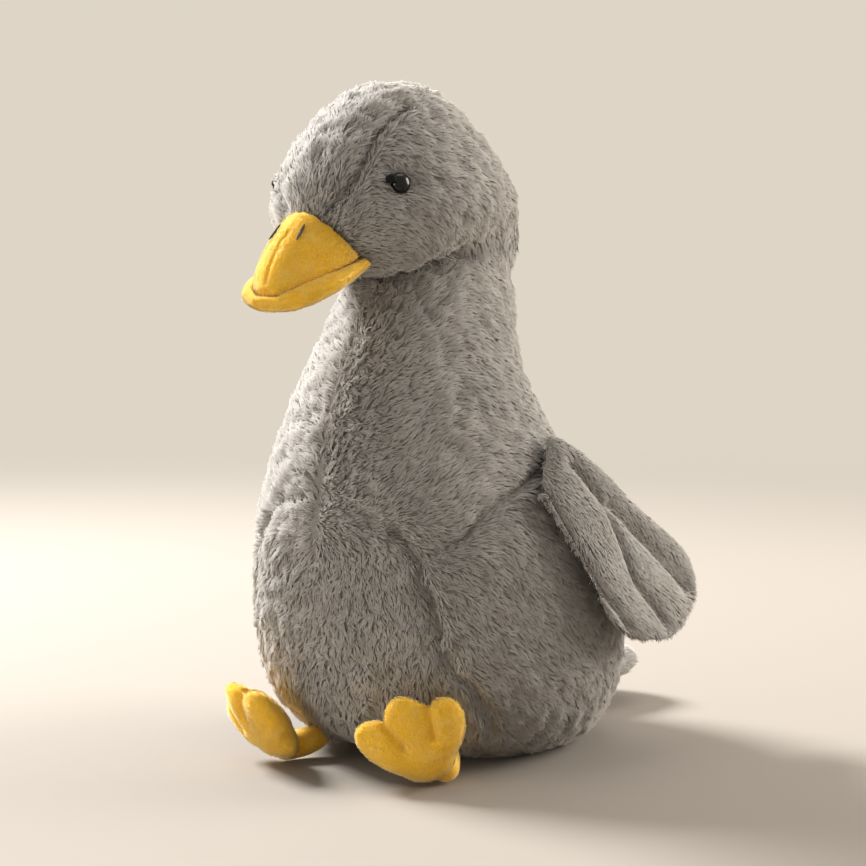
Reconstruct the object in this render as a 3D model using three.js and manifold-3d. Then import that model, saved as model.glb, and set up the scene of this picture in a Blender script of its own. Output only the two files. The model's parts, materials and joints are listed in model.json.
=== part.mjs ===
// A seated plush duck: stuffed body and neck, a head sewn on over the neck, padded bill, quilted wings,
// a stub tail and webbed feet on short legs. Millimetres, +Z up, the duck faces -Y, its left side is +X.
import * as THREE from 'three';
import { mergeVertices } from 'three/addons/utils/BufferGeometryUtils.js';
import Module from 'manifold-3d';

const wasm = await Module();
wasm.setup();

// Driving dimensions: cloth and clearances
const clothThickness = 3.6; // backing and pile together
const seamGap = 0.35;
const fillingGap = 2 * seamGap;
const cutOverrun = 4;

// Body and neck
const bodyHeight = 258; // from the base to the middle of the neck's round end
const bodyWidth = 200;
const bodyDepth = 222;
const neckWidth = 84;
const neckDepth = 106;
const neckShift = -12; // of the neck's end, ahead of the middle of the body
const nodRange = 8; // degrees, each way

// Head
const headWidth = 124;
const headLength = 156;
const headHeight = 123;
const headMiddleHeight = 302;
const headMiddleShift = -42;
const jawRise = 22; // of the head's underside, between the chin and the nape

// Bill
const billLength = 49; // from the corners of the mouth to the tip
const billRootLength = 26; // that the bill's form runs on behind the corners, into the face
const upperBillWidth = 48;
const upperBillRise = 30;
const upperBillSink = 5.5;
const lowerBillWidth = 61;
const lowerBillThickness = 15.5;
const lowerBillRise = 3.5; // of its edge past the mouth, round the upper bill
const lipReach = 3; // of the lower bill past the upper one, at the tip
const billDroop = 22; // degrees
const mouthHeight = 271;
const mouthShift = -102;
const nostrilLength = 9;
const nostrilRadius = 0.6;

// Eyes
const eyeRadius = 6;
const eyeDome = 4.6;
const eyeShankRadius = 1.6;
const eyeShankLength = 8;
const eyeSink = 3.4; // of the eye into the pile
const eyeHeightShare = 0.516;
const eyeBearing = 51; // degrees, from the front
const washerRadius = 7;
const washerThickness = 1.2;
const washerSink = 2.5; // clear of the cover's curve
const cornerLength = 4.6;
const cornerRadius = 1.5;
const cornerHalfHeight = 3.4;
const cornerLap = 2; // of the corner over the eye's edge

// Wings
const wingLength = 147;
const wingHalfWidth = 42;
const wingThickness = 13;
const wingRootRadius = 3.2;
const wingRootStand = 2; // of the root seam's line off the body, that bulges between its ends
const wingRootHeight = 158;
const wingRootLength = 46;
const wingFlare = 14; // degrees, off the toy's middle plane
const wingFall = 36; // degrees, of its length below the level
const wingChannelDepthShare = 0.34;
const wingSlit = 1.2; // of the open root
const wingHollowShares = [0.2, 0.93]; // of the way from the root to the tip, where it starts and ends
const wingWaddingShares = [0.22, 0.92];
const wingMouthShare = 0.6; // of the hollow's width, that the slit takes

// Tail
const tailLength = 66;
const tailHalfWidth = 38;
const tailThickness = 27;
const tailRootRadius = 5;
const tailHeight = 25;
const tailLift = 1; // degrees

// Legs and feet
const legRadius = 8;
const legSettle = 0.35; // of the leg's round end into the body's curve
const hipHeight = 15.4; // of the leg's seam on the body
const footRestGap = 0.3; // of legs and feet over what the toy sits on
const footLift = 2;
const toeLength = 51;
const toeRadius = 15.5;
// How each leg and foot lies: degrees from the front, length of the leg, degrees of the foot's lean forwards
// and of its middle toe's turn towards the other foot
const leftFootPose = { bearing: 35, reach: 12, lean: 22, turnIn: 23 };
const rightFootPose = { bearing: 21, reach: 12, lean: 37, turnIn: -20 };
const footThickness = 20;
const toeSpread = 37; // degrees, between neighbouring toes
const footFlop = 24; // degrees, of the toes forwards about the ankle
const footFlopSlack = 10;

// Pellet pouch over the base panel
const pouchRadius = 53;
const pouchHeight = 20;
const pouchFullness = 0.5; // below 1 its section is squarer than an ellipse

const furColour = '#7e7a72';
const velboaColour = '#d99a1c';

const radians = THREE.MathUtils.degToRad;
const { sin, cos, sqrt, abs, sign, PI } = Math;
const up = new THREE.Vector3(0, 0, 1);

const fur = new THREE.MeshStandardMaterial({ color: furColour, roughness: 0.95, metalness: 0 });
const velboa = new THREE.MeshStandardMaterial({ color: velboaColour, roughness: 0.85, metalness: 0 });
const fibre = new THREE.MeshStandardMaterial({ color: '#f2efe8', roughness: 1, metalness: 0 });
const pouchCloth = new THREE.MeshStandardMaterial({ color: '#e4e0d6', roughness: 0.9, metalness: 0 });
const eyePlastic = new THREE.MeshStandardMaterial({ color: '#0b0b0b', roughness: 0.08, metalness: 0 });
const washerPlastic = new THREE.MeshStandardMaterial({ color: '#e8e8e4', roughness: 0.5, metalness: 0 });
const blackThread = new THREE.MeshStandardMaterial({ color: '#1c1613', roughness: 0.8, metalness: 0 });

// One row of a table, at a place along it, on a smooth curve through the rows. Column 0 is the place.
function rowAt(rows, at) {
  let i = 0;
  while (i < rows.length - 2 && rows[i + 1][0] < at) i++;
  const [from, to] = [rows[i], rows[i + 1]];
  const before = rows[Math.max(i - 1, 0)];
  const after = rows[Math.min(i + 2, rows.length - 1)];
  const span = to[0] - from[0];
  const t = (at - from[0]) / span;
  return from.map((value, c) => {
    const slopeFrom = ((to[c] - before[c]) / (to[0] - before[0])) * span;
    const slopeTo = ((after[c] - value) / (after[0] - from[0])) * span;
    const rise = to[c] - value;
    return value + t * (slopeFrom + t * (3 * rise - 2 * slopeFrom - slopeTo + t * (slopeFrom + slopeTo - 2 * rise)));
  });
}

// Unit normal of a form, pointing out of it
function normalAt(form, along, angle) {
  const step = 1e-3;
  const crossAt = (at) => {
    const lengthwise = form(at + step, angle).sub(form(at - step, angle));
    return form(at, angle + step).sub(form(at, angle - step)).cross(lengthwise).normalize();
  };
  const outward = form(0.5, angle).sub(form(0.5, angle + PI));
  const normal = crossAt(Math.min(Math.max(along, step), 1 - step));
  return crossAt(0.5).dot(outward) < 0 ? normal.negate() : normal;
}

// Rings of points on a form, moved out along its normals by grow
function ringsOn(form, { grow = 0, alongSteps = 20, aroundSteps = 28, from = 0, to = 1 }) {
  const rings = [];
  for (let i = 0; i <= alongSteps; i++) {
    const along = from + ((to - from) * i) / alongSteps;
    const ring = [];
    for (let j = 0; j < aroundSteps; j++) {
      const angle = (2 * PI * j) / aroundSteps;
      ring.push(form(along, angle).addScaledVector(normalAt(form, along, angle), grow));
    }
    rings.push(ring);
  }
  return rings;
}

const middleOf = (ring) => ring.reduce((sum, p) => sum.add(p), new THREE.Vector3()).divideScalar(ring.length);

// Closed solid through rings of points, each end closed from the middle of its ring
function solidThrough(rings) {
  const size = rings[0].length;
  const points = [...rings.flat(), middleOf(rings[0]), middleOf(rings.at(-1))];
  const firstTip = points.length - 2;
  const faces = [];
  for (let j = 0; j < size; j++) {
    const next = (j + 1) % size;
    faces.push(firstTip, next, j);
    for (let i = 0; i < rings.length - 1; i++) {
      const [a, b] = [i * size + j, i * size + next];
      faces.push(a, b, a + size, b, b + size, a + size);
    }
    faces.push(firstTip + 1, (rings.length - 1) * size + j, (rings.length - 1) * size + next);
  }
  const geometry = new THREE.BufferGeometry();
  geometry.setAttribute('position', new THREE.Float32BufferAttribute(points.flatMap((p) => p.toArray()), 3));
  geometry.setIndex(faces);
  return asManifold(geometry);
}

function signedVolume(geometry) {
  const place = geometry.attributes.position;
  const index = geometry.index.array;
  const [a, b, c] = [new THREE.Vector3(), new THREE.Vector3(), new THREE.Vector3()];
  let volume = 0;
  for (let i = 0; i < index.length; i += 3) {
    a.fromBufferAttribute(place, index[i]);
    b.fromBufferAttribute(place, index[i + 1]);
    c.fromBufferAttribute(place, index[i + 2]);
    volume += a.dot(b.cross(c)) / 6;
  }
  return volume;
}

// Closed three.js geometry as a solid for joining and cutting, its faces turned outwards
function asManifold(geometry) {
  const bare = geometry.clone();
  bare.deleteAttribute('normal');
  bare.deleteAttribute('uv');
  const merged = mergeVertices(bare, 1e-4);
  const triVerts = Uint32Array.from(merged.index.array);
  if (signedVolume(merged) < 0) {
    for (let i = 0; i < triVerts.length; i += 3) {
      [triVerts[i], triVerts[i + 1]] = [triVerts[i + 1], triVerts[i]];
    }
  }
  const vertProperties = Float32Array.from(merged.attributes.position.array);
  return new wasm.Manifold(new wasm.Mesh({ numProp: 3, vertProperties, triVerts }));
}

function asGeometry(solid) {
  const mesh = solid.getMesh();
  const geometry = new THREE.BufferGeometry();
  geometry.setAttribute('position', new THREE.BufferAttribute(Float32Array.from(mesh.vertProperties), 3));
  geometry.setIndex(new THREE.BufferAttribute(Uint32Array.from(mesh.triVerts), 1));
  geometry.computeVertexNormals();
  return geometry;
}

const moved = (solid, matrix) => solid.transform(matrix.toArray());

// Turn by an angle in degrees about an axis through a point
function turnAbout(point, axis, degrees) {
  return new THREE.Matrix4()
    .makeTranslation(point)
    .multiply(new THREE.Matrix4().makeRotationAxis(axis.clone().normalize(), radians(degrees)))
    .multiply(new THREE.Matrix4().makeTranslation(point.clone().negate()));
}

// Place and turning of a piece whose own axes are given in the toy's frame
function placed(origin, xAxis, yAxis, zAxis) {
  return new THREE.Matrix4().makeBasis(xAxis, yAxis, zAxis).setPosition(origin);
}

const neckPivot = new THREE.Vector3(0, neckShift, bodyHeight);
const sideways = new THREE.Vector3(1, 0, 0);

// Body and neck: height, shift of the middle back, half width, reach to the front and to the back,
// as shares of the body's height, half depth, half width, half depth and half depth
const bodyShares = [
  [0, 0.14, 0.66, 0.5, 0.64],
  [0.018, 0.12, 0.76, 0.64, 0.74],
  [0.06, 0.08, 0.87, 0.8, 0.87],
  [0.15, 0.03, 0.97, 0.94, 0.97],
  [0.29, 0, 1, 1.0, 1.0],
  [0.43, 0, 0.97, 1.03, 0.92],
  [0.56, -0.04, 0.88, 0.97, 0.76],
  [0.69, -0.12, 0.72, 0.83, 0.58],
  [0.81, -0.16, 0.57, 0.68, 0.52],
  [0.92, -0.13, 0.465, 0.56, 0.545],
];
const neckEndShares = [1, neckShift / (bodyDepth / 2), neckWidth / bodyWidth, neckDepth / bodyDepth, 0.525];
const domeShare = 0.16; // of the steps along the form, spent on the neck's round end
const domeReachShare = 0.97; // of a quarter turn, that the round end runs to

function bodyForm(along, angle) {
  const onDome = along > 1 - domeShare;
  const height = onDome ? 1 : along / (1 - domeShare);
  const row = rowAt([...bodyShares, neckEndShares], height);
  const tilt = onDome ? ((along - 1 + domeShare) / domeShare) * (PI / 2) * domeReachShare : 0;
  const reach = (cos(angle) > 0 ? row[3] : row[4]) * (bodyDepth / 2);
  return new THREE.Vector3(
    row[2] * (bodyWidth / 2) * sin(angle) * cos(tilt),
    row[1] * (bodyDepth / 2) - reach * cos(angle) * cos(tilt),
    row[0] * bodyHeight + (neckDepth / 2) * sin(tilt),
  );
}

// Place on the body at a height and an angle from the front, moved out of it by grow
function onBody(height, degrees, grow = 0) {
  const along = (height / bodyHeight) * (1 - domeShare);
  const angle = radians(degrees);
  return bodyForm(along, angle).addScaledVector(normalAt(bodyForm, along, angle), grow);
}

// Head: place along it, half width, reach to the front and to the back, as shares of its own sizes
const headShares = [
  [0, 1.04, 1.08, 1.3],
  [0.15, 1, 1.05, 1.32],
  [0.3, 0.99, 1.02, 1.27],
  [0.45, 0.95, 1.01, 1.08],
  [0.6, 0.8, 0.95, 0.83],
  [0.75, 0.69, 0.83, 0.71],
  [1, 0.63, 0.68, 0.78],
];
const headPoleShare = 0.02; // of the half turn from its underside to its top, left open at each end

function headForm(along, angle) {
  const polar = PI * (headPoleShare + (1 - 2 * headPoleShare) * along);
  const [, width, front, back] = rowAt(headShares, along);
  const ahead = (cos(angle) > 0 ? front : back) * cos(angle) * sin(polar);
  return new THREE.Vector3(
    width * (headWidth / 2) * sin(angle) * sin(polar),
    headMiddleShift - ahead * (headLength / 2),
    headMiddleHeight - (headHeight / 2) * cos(polar) + jawRise * (1 - along) * (1 - ahead ** 2) * (1 - ahead / 2),
  );
}

const bodySolid = (grow) => solidThrough(ringsOn(bodyForm, { grow, alongSteps: 23, aroundSteps: 28 }));
const bodyClear = bodySolid(seamGap);
const headSolid = (grow) => solidThrough(ringsOn(headForm, { grow, alongSteps: 16, aroundSteps: 26 }));
const headClear = headSolid(seamGap);

// Body cover, open underneath, with its base panel, filling and pellet pouch
function coarseBody(grow, drop) {
  const rings = ringsOn(bodyForm, { grow, alongSteps: 13, aroundSteps: 18 });
  if (drop > 0) rings.unshift(rings[0].map((p) => p.clone().setZ(-drop)));
  return solidThrough(rings);
}
const bodyCavity = coarseBody(-clothThickness, cutOverrun);
const bodyCover = bodySolid(0).subtract(bodyCavity);

const slabBetween = (low, high) => {
  const slab = new THREE.BoxGeometry(2 * bodyWidth, 2 * bodyDepth, high - low);
  slab.translate(0, 0, (low + high) / 2);
  return asManifold(slab);
};
const insideBody = coarseBody(-clothThickness - fillingGap, cutOverrun);
const basePanel = insideBody.intersect(slabBetween(0, clothThickness));
const fillingFloor = clothThickness + seamGap;
const pouchMiddle = new THREE.Vector3(0, bodyShares[0][1] * (bodyDepth / 2), fillingFloor);

// Pouch outline, from the middle of its flat underside round to the middle of its top
function pouchProfile(grow) {
  const points = [new THREE.Vector2(0, -grow)];
  const steps = 6;
  for (let i = 0; i <= steps; i++) {
    const angle = (PI / 2) * (i / steps);
    const radius = (pouchRadius + grow) * cos(angle) ** pouchFullness;
    points.push(new THREE.Vector2(i < steps ? radius : 0, -grow + (pouchHeight + 2 * grow) * sin(angle)));
  }
  return points;
}
const pouchSolid = (grow) => {
  const pouch = new THREE.LatheGeometry(pouchProfile(grow), 28);
  pouch.rotateX(PI / 2);
  pouch.translate(...pouchMiddle);
  return asManifold(pouch);
};
const pelletPouch = pouchSolid(0);
const bodyFilling = insideBody
  .intersect(slabBetween(fillingFloor, 2 * bodyHeight))
  .subtract(pouchSolid(seamGap));

// Head cover, hollowed over the neck's round end with room to nod, and its filling
const neckClear = bodySolid(fillingGap);
const neckTurned = (degrees) => moved(neckClear, turnAbout(neckPivot, sideways, degrees));
const clearOfNeck = (solid) =>
  solid.subtract(neckClear).subtract(neckTurned(nodRange)).subtract(neckTurned(-nodRange));
const neckRoomGrow = 6;
const neckRoomFromShare = 0.6; // of the way up the body
const neckRoom = solidThrough(ringsOn(bodyForm, { grow: neckRoomGrow, alongSteps: 8, aroundSteps: 16, from: neckRoomFromShare }));
const coarseHead = (grow) => solidThrough(ringsOn(headForm, { grow, alongSteps: 10, aroundSteps: 16 }));

// Eyes: place on the head, and the outward direction there
function eyeFrame(side) {
  const angle = radians(eyeBearing) * side;
  const place = headForm(eyeHeightShare, angle);
  const outward = normalAt(headForm, eyeHeightShare, angle);
  const across = up.clone().cross(outward).normalize();
  return { place, outward, across, above: outward.clone().cross(across) };
}

// Solid of revolution about a direction from a point, from its outline of [radius, distance] pairs
function turned(outline, { place, outward, across, above }, segments = 12) {
  const geometry = new THREE.LatheGeometry(outline.map(([radius, out]) => new THREE.Vector2(radius, out)), segments);
  geometry.applyMatrix4(placed(place, across, outward, above.clone().negate()));
  return asManifold(geometry);
}

const eyeSeat = -eyeSink;
const washerFace = -clothThickness - seamGap - washerSink;
function eyeSolid(frame) {
  const steps = 5;
  const dome = [];
  for (let i = 0; i <= steps; i++) {
    const angle = (PI / 2) * (i / steps);
    dome.push([i < steps ? eyeRadius * cos(angle) : 0, eyeSeat + eyeDome * sin(angle)]);
  }
  const shankEnd = eyeSeat - eyeShankLength;
  return turned([[0, shankEnd], [eyeShankRadius, shankEnd], [eyeShankRadius, eyeSeat], ...dome], frame);
}
const plug = (radius, low, high, frame) => turned([[0, low], [radius, low], [radius, high], [0, high]], frame);
function washerSolid(frame) {
  const hole = plug(eyeShankRadius + seamGap, washerFace - cutOverrun, washerFace + cutOverrun, frame);
  return plug(washerRadius, washerFace - washerThickness, washerFace, frame).subtract(hole);
}

// Small black lump at the inner corner of an eye, seated on the head
function cornerSolid(frame) {
  const away = eyeRadius + seamGap + cornerLength / 2 - cornerLap;
  const lump = new THREE.SphereGeometry(1, 10, 8);
  lump.scale(cornerLength / 2, cornerRadius, cornerHalfHeight);
  const toFront = frame.across.clone().multiplyScalar(-sign(frame.place.x));
  const middle = frame.place.clone().addScaledVector(toFront, away).addScaledVector(frame.above, cornerRadius / 2);
  lump.applyMatrix4(placed(middle, frame.across, frame.outward, frame.above.clone().negate()));
  return asManifold(lump).subtract(headClear).subtract(plug(eyeRadius + seamGap, -cutOverrun, 3 * eyeDome, frame));
}

const eyeFrames = [1, -1].map(eyeFrame);
let headCover = clearOfNeck(headSolid(0).subtract(coarseHead(-clothThickness)));
let headFilling = coarseHead(-clothThickness - fillingGap).subtract(neckRoom);
for (const frame of eyeFrames) {
  headCover = headCover
    .subtract(plug(eyeShankRadius + seamGap, -3 * clothThickness, cutOverrun, frame))
    .subtract(plug(eyeRadius + seamGap, eyeSeat - seamGap, cutOverrun, frame));
  const room = eyeSink + eyeShankLength + seamGap;
  headFilling = headFilling.subtract(plug(washerRadius + seamGap, -room, cutOverrun, frame));
}

// Bill: place along it from behind the face to its tip, half width, reach up and reach down, in shares
const upperBillShares = [
  [0, 0.94, 0.9, 1],
  [0.35, 1, 1, 1],
  [0.48, 0.98, 0.95, 1],
  [0.62, 0.91, 0.83, 1],
  [0.76, 0.79, 0.66, 1],
  [0.88, 0.64, 0.46, 1],
  [0.96, 0.47, 0.28, 0.8],
  [1, 0.28, 0.13, 0.5],
];
const lowerBillShares = [
  [0, 0.8, 1, 1],
  [0.35, 0.86, 1, 1],
  [0.5, 0.94, 1, 1],
  [0.7, 0.94, 1, 1],
  [0.85, 0.8, 1, 1],
  [0.94, 0.6, 0.72, 0.9],
  [1, 0.29, 0.45, 0.5],
];
// Below 1 a section is squarer than an ellipse, above 1 more pointed
const upperBillFullness = 1.1;
const lowerBillFullness = 0.85;
const billRingShare = 0.15; // of the bill's run, between the rings of its hollow and of its filling
const billHollowRings = 6;
const billFillingRings = 5;
const billRun = billLength + billRootLength;
const billTurn = new THREE.Matrix4()
  .makeTranslation(new THREE.Vector3(0, mouthShift, mouthHeight))
  .multiply(new THREE.Matrix4().makeRotationX(radians(billDroop)));

// Surface of a bill piece: angle 0 is its top, 90 degrees the duck's left
function billForm(shares, { fullness, halfWidth, rise, sink, run, drop }) {
  return (along, angle) => {
    const row = rowAt(shares, along);
    const height = cos(angle) > 0 ? row[2] * rise : row[3] * sink;
    const round = (value) => sign(value) * abs(value) ** fullness;
    return new THREE.Vector3(
      row[1] * halfWidth * round(sin(angle)),
      billRootLength - along * run,
      height * round(cos(angle)) - drop,
    ).applyMatrix4(billTurn);
  };
}
const upperBillAt = (inset) =>
  billForm(upperBillShares, {
    fullness: upperBillFullness,
    halfWidth: upperBillWidth / 2 - inset,
    rise: upperBillRise - inset / cos(radians(billDroop)) ** 2,
    sink: Math.max(upperBillSink - inset, 0),
    run: billRun,
    drop: 0,
  });
const upperBillForm = upperBillAt(0);
const lowerBillForm = billForm(lowerBillShares, {
  fullness: lowerBillFullness,
  halfWidth: lowerBillWidth / 2,
  rise: lowerBillThickness / 2,
  sink: lowerBillThickness / 2,
  run: billRun + lipReach,
  drop: lowerBillThickness / 2 - lowerBillRise,
});
const billSteps = { alongSteps: 11, aroundSteps: 24 };
const upperBillOuter = (grow) => solidThrough(ringsOn(upperBillForm, { grow, ...billSteps }));
const upperBillClear = upperBillOuter(seamGap);
const billInside = (inset, alongSteps) =>
  solidThrough(ringsOn(upperBillAt(inset), { alongSteps, aroundSteps: 14, to: alongSteps * billRingShare }));
const lowerBill = solidThrough(ringsOn(lowerBillForm, billSteps)).subtract(headClear).subtract(upperBillClear);
const upperBill = upperBillOuter(0).subtract(headClear).subtract(billInside(clothThickness, billHollowRings));
const billFilling = billInside(clothThickness + fillingGap, billFillingRings).subtract(headClear);

// Nostril: one straight stitch on the upper bill
const nostrilFromShare = 0.58;
const nostrilToShare = 0.69;
const nostrilBearing = 25; // degrees, from the top of the bill's section
function nostrilSolid(side) {
  const angle = radians(nostrilBearing) * side;
  const from = upperBillForm(nostrilFromShare, angle);
  const to = upperBillForm(nostrilToShare, angle);
  const along = to.clone().sub(from).normalize();
  const middle = from.add(to).divideScalar(2);
  const outward = normalAt(upperBillForm, (nostrilFromShare + nostrilToShare) / 2, angle);
  const stitch = new THREE.CapsuleGeometry(nostrilRadius, nostrilLength - 2 * nostrilRadius, 3, 8);
  const across = along.clone().cross(outward).normalize();
  stitch.applyMatrix4(placed(middle.addScaledVector(outward, seamGap), across, along, across.clone().cross(along)));
  return asManifold(stitch).subtract(upperBillClear);
}

// Pad with a thin round root along its hinge line. Its own axes: x along the hinge, y out of the toy and z from
// the root to the tip. Rows: place along it, shift of the middle along the hinge, half width, half thickness, bow
// outwards; the shifts and bows are shares of its length.
const padFullness = 0.85; // below 1 a pad's section is squarer than an ellipse
const noseShare = 0.75; // of the thickness, that the nose rounds off
const channelWidthShare = 0.12;
const channelStart = 6; // lengths over which the quilting comes in, per length of the pad
function padForm({ rows, length, halfWidth, halfThickness, rootRadius, channels = [], channelDepth = 0 }) {
  const nose = (2 * rootRadius) / length;
  return (along, angle) => {
    const [, shift, half, thick, bow] = rowAt(rows, along);
    const onNose = along < nose ? sqrt(1 - ((along - nose) / nose) ** 2) : 1;
    const across = sign(cos(angle)) * abs(cos(angle)) ** padFullness;
    const dip = channels.reduce((sum, at) => sum + Math.exp(-(((across - at) / channelWidthShare) ** 2)), 0);
    const ease = Math.min(1, Math.max(0, along - 1.5 * nose) * channelStart);
    const depth = thick * halfThickness * (1 - channelDepth * dip * ease) * (1 - noseShare + noseShare * onNose);
    return new THREE.Vector3(
      shift * length + half * halfWidth * across,
      bow * length + depth * sign(sin(angle)) * abs(sin(angle)) ** padFullness,
      along * length - rootRadius,
    );
  };
}

const wingShares = [
  [0, 0.016, wingRootLength / 2 / wingHalfWidth, (2 * wingRootRadius) / wingThickness, 0],
  [0.1, -0.027, 0.69, 0.64, 0.026],
  [0.19, -0.057, 0.79, 0.8, 0.036],
  [0.29, -0.099, 0.89, 0.92, 0.043],
  [0.4, -0.133, 0.965, 1, 0.036],
  [0.5, -0.149, 1, 1, 0.024],
  [0.6, -0.137, 0.98, 1, 0.015],
  [0.7, -0.122, 0.94, 0.96, 0.008],
  [0.8, -0.092, 0.82, 0.88, 0.004],
  [0.9, -0.06, 0.68, 0.74, 0],
  [0.97, -0.043, 0.38, 0.46, 0],
  [1, -0.03, 0.12, 0.22, 0],
];
const wingChannelShares = [-0.58, -0.08, 0.46];
const wingPad = {
  rows: wingShares,
  length: wingLength,
  halfWidth: wingHalfWidth,
  halfThickness: wingThickness / 2,
  rootRadius: wingRootRadius,
  channels: wingChannelShares,
  channelDepth: wingChannelDepthShare,
};

// Hinge of a pad that is sewn to the body between two places on it, with its line standing off the body
function hingeLine(low, high, stand) {
  const from = onBody(...low, stand);
  const to = onBody(...high, stand);
  return { middle: from.clone().add(to).divideScalar(2), line: to.clone().sub(from).normalize() };
}

// Place of a pad on its hinge: its length leaves the toy's middle plane by flare and the level by rise, in degrees
function padMatrix({ middle, line }, flare, rise) {
  const level = new THREE.Vector3(sin(radians(flare)), cos(radians(flare)), 0).multiplyScalar(cos(radians(rise)));
  const tipward = level.setZ(sin(radians(rise)));
  tipward.addScaledVector(line, -tipward.dot(line)).normalize();
  return placed(middle, line, tipward.clone().cross(line), tipward);
}

const wingRootBearings = [71, 96]; // degrees from the front, at the root seam's lower and upper end
const wingHinge = hingeLine(
  [wingRootHeight - wingRootLength / 2, wingRootBearings[0]],
  [wingRootHeight + wingRootLength / 2, wingRootBearings[1]],
  wingRootRadius + seamGap + wingRootStand,
);
const wingMatrix = padMatrix(wingHinge, wingFlare, -wingFall);

// The left wing's cover, with a slit along its root that the wadding goes in through, and the wadding
function wingSolids() {
  const outer = solidThrough(ringsOn(padForm(wingPad), { alongSteps: 13, aroundSteps: 22 }));
  const inside = (inset, from, to) => {
    const [halfWidth, halfThickness] = [wingHalfWidth - 2 * inset, wingThickness / 2 - inset];
    const form = padForm({ ...wingPad, channels: [], halfWidth, halfThickness });
    return ringsOn(form, { alongSteps: 7, aroundSteps: 10, from, to });
  };
  const hollow = inside(clothThickness, ...wingHollowShares);
  const mouth = hollow[0].map(({ x, y }) =>
    new THREE.Vector3(x * wingMouthShare, sign(y) * (wingSlit / 2), -wingRootRadius - cutOverrun));
  const cover = moved(outer.subtract(solidThrough([mouth, ...hollow])), wingMatrix).subtract(bodyClear);
  return { cover, wadding: moved(solidThrough(inside(clothThickness + 1.5 * fillingGap, ...wingWaddingShares)), wingMatrix) };
}
const leftWing = wingSolids();
const wings = [leftWing, { cover: leftWing.cover.mirror([1, 0, 0]), wadding: leftWing.wadding.mirror([1, 0, 0]) }];

// Tail: a short pad hinged across the back
const tailShares = [
  [0, 0, 0.8, (2 * tailRootRadius) / tailThickness, 0],
  [0.25, 0, 0.97, 0.9, 0],
  [0.5, 0, 1, 1, 0],
  [0.75, 0, 0.94, 0.9, 0],
  [0.92, 0, 0.7, 0.66, 0],
  [1, 0, 0.36, 0.34, 0],
];
function tailSolid() {
  const form = padForm({
    rows: tailShares,
    length: tailLength,
    halfWidth: tailHalfWidth,
    halfThickness: tailThickness / 2,
    rootRadius: tailRootRadius,
  });
  const root = { middle: onBody(tailHeight, 180, tailRootRadius + seamGap), line: sideways };
  const matrix = padMatrix(root, 0, tailLift);
  return moved(solidThrough(ringsOn(form, { alongSteps: 10, aroundSteps: 16 })), matrix).subtract(bodyClear);
}

// Leg: a short stuffed tube with round ends, from its hip at the body to its ankle behind the foot
function legFrame(side, { bearing, reach, lean, turnIn }) {
  const direction = new THREE.Vector3(side * sin(radians(bearing)), -cos(radians(bearing)), 0);
  const outer = new THREE.Vector3(side * cos(radians(bearing)), sin(radians(bearing)), 0);
  const hip = onBody(hipHeight, bearing * side, legRadius - legSettle);
  const ankle = hip.clone().addScaledVector(direction, reach).setZ(legRadius + footRestGap);
  const along = ankle.clone().sub(hip).normalize();
  const hinge = outer.clone().multiplyScalar(side); // turning about it takes the toes forwards
  return { hip, ankle, along, direction, outer, hinge, lean, turnIn, length: hip.distanceTo(ankle) };
}
function legSolid({ hip, ankle, along, length }) {
  const tube = new THREE.CapsuleGeometry(legRadius, length, 4, 14);
  const middle = hip.clone().add(ankle).divideScalar(2);
  const across = along.clone().cross(up).normalize();
  tube.applyMatrix4(placed(middle, across, along, across.clone().cross(along)));
  return asManifold(tube).subtract(bodyClear);
}

// Foot: three puffy toes that fan out from a heel, joined into one stuffed pad that leans back on the leg
const toeShares = [1, 1.02, 0.98];
const toeRootShare = 0.74; // of a toe's half length, from the heel to its middle
const padReachShare = 0.37;
const ballRowsShare = 0.7; // rows of faces to columns, on each of a foot's balls
const padWidthShare = 1.05;
const ankleDepthShare = 0.42; // of the foot's thickness, from the ankle to the foot's middle
const ankleShiftShare = 1; // of the leg's radius, from the ankle to the heel's middle
function footSolid({ ankle, direction, outer, lean, turnIn }, scaleShare, segments) {
  const back = radians(-lean);
  const face = direction.clone().multiplyScalar(cos(back)).addScaledVector(up, sin(back));
  const rise = direction.clone().multiplyScalar(-sin(back)).addScaledVector(up, cos(back));
  const heel = ankle.clone().addScaledVector(face, footThickness * ankleDepthShare);
  heel.addScaledVector(outer, -legRadius * ankleShiftShare).setZ(footThickness / 2 + footLift);
  const pad = (reach, halfWidth, tilt, offsetShare) => {
    const direct = rise.clone().multiplyScalar(cos(tilt)).addScaledVector(outer, -sin(tilt));
    const ball = new THREE.SphereGeometry(1, segments, Math.round(segments * ballRowsShare));
    ball.scale(halfWidth * scaleShare, reach * scaleShare, (footThickness / 2) * scaleShare);
    const middle = heel.clone().addScaledVector(direct, reach * offsetShare);
    ball.applyMatrix4(placed(middle, direct.clone().cross(face), direct, face));
    return asManifold(ball);
  };
  const padReach = toeLength * padReachShare;
  const toes = toeShares.map((lengthShare, i) =>
    pad((toeLength * lengthShare) / 2, toeRadius, radians(turnIn + toeSpread * (1 - i)), toeRootShare));
  return toes.reduce((foot, toe) => foot.add(toe), pad(padReach, padReach * padWidthShare, radians(turnIn), padReachShare));
}
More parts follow.
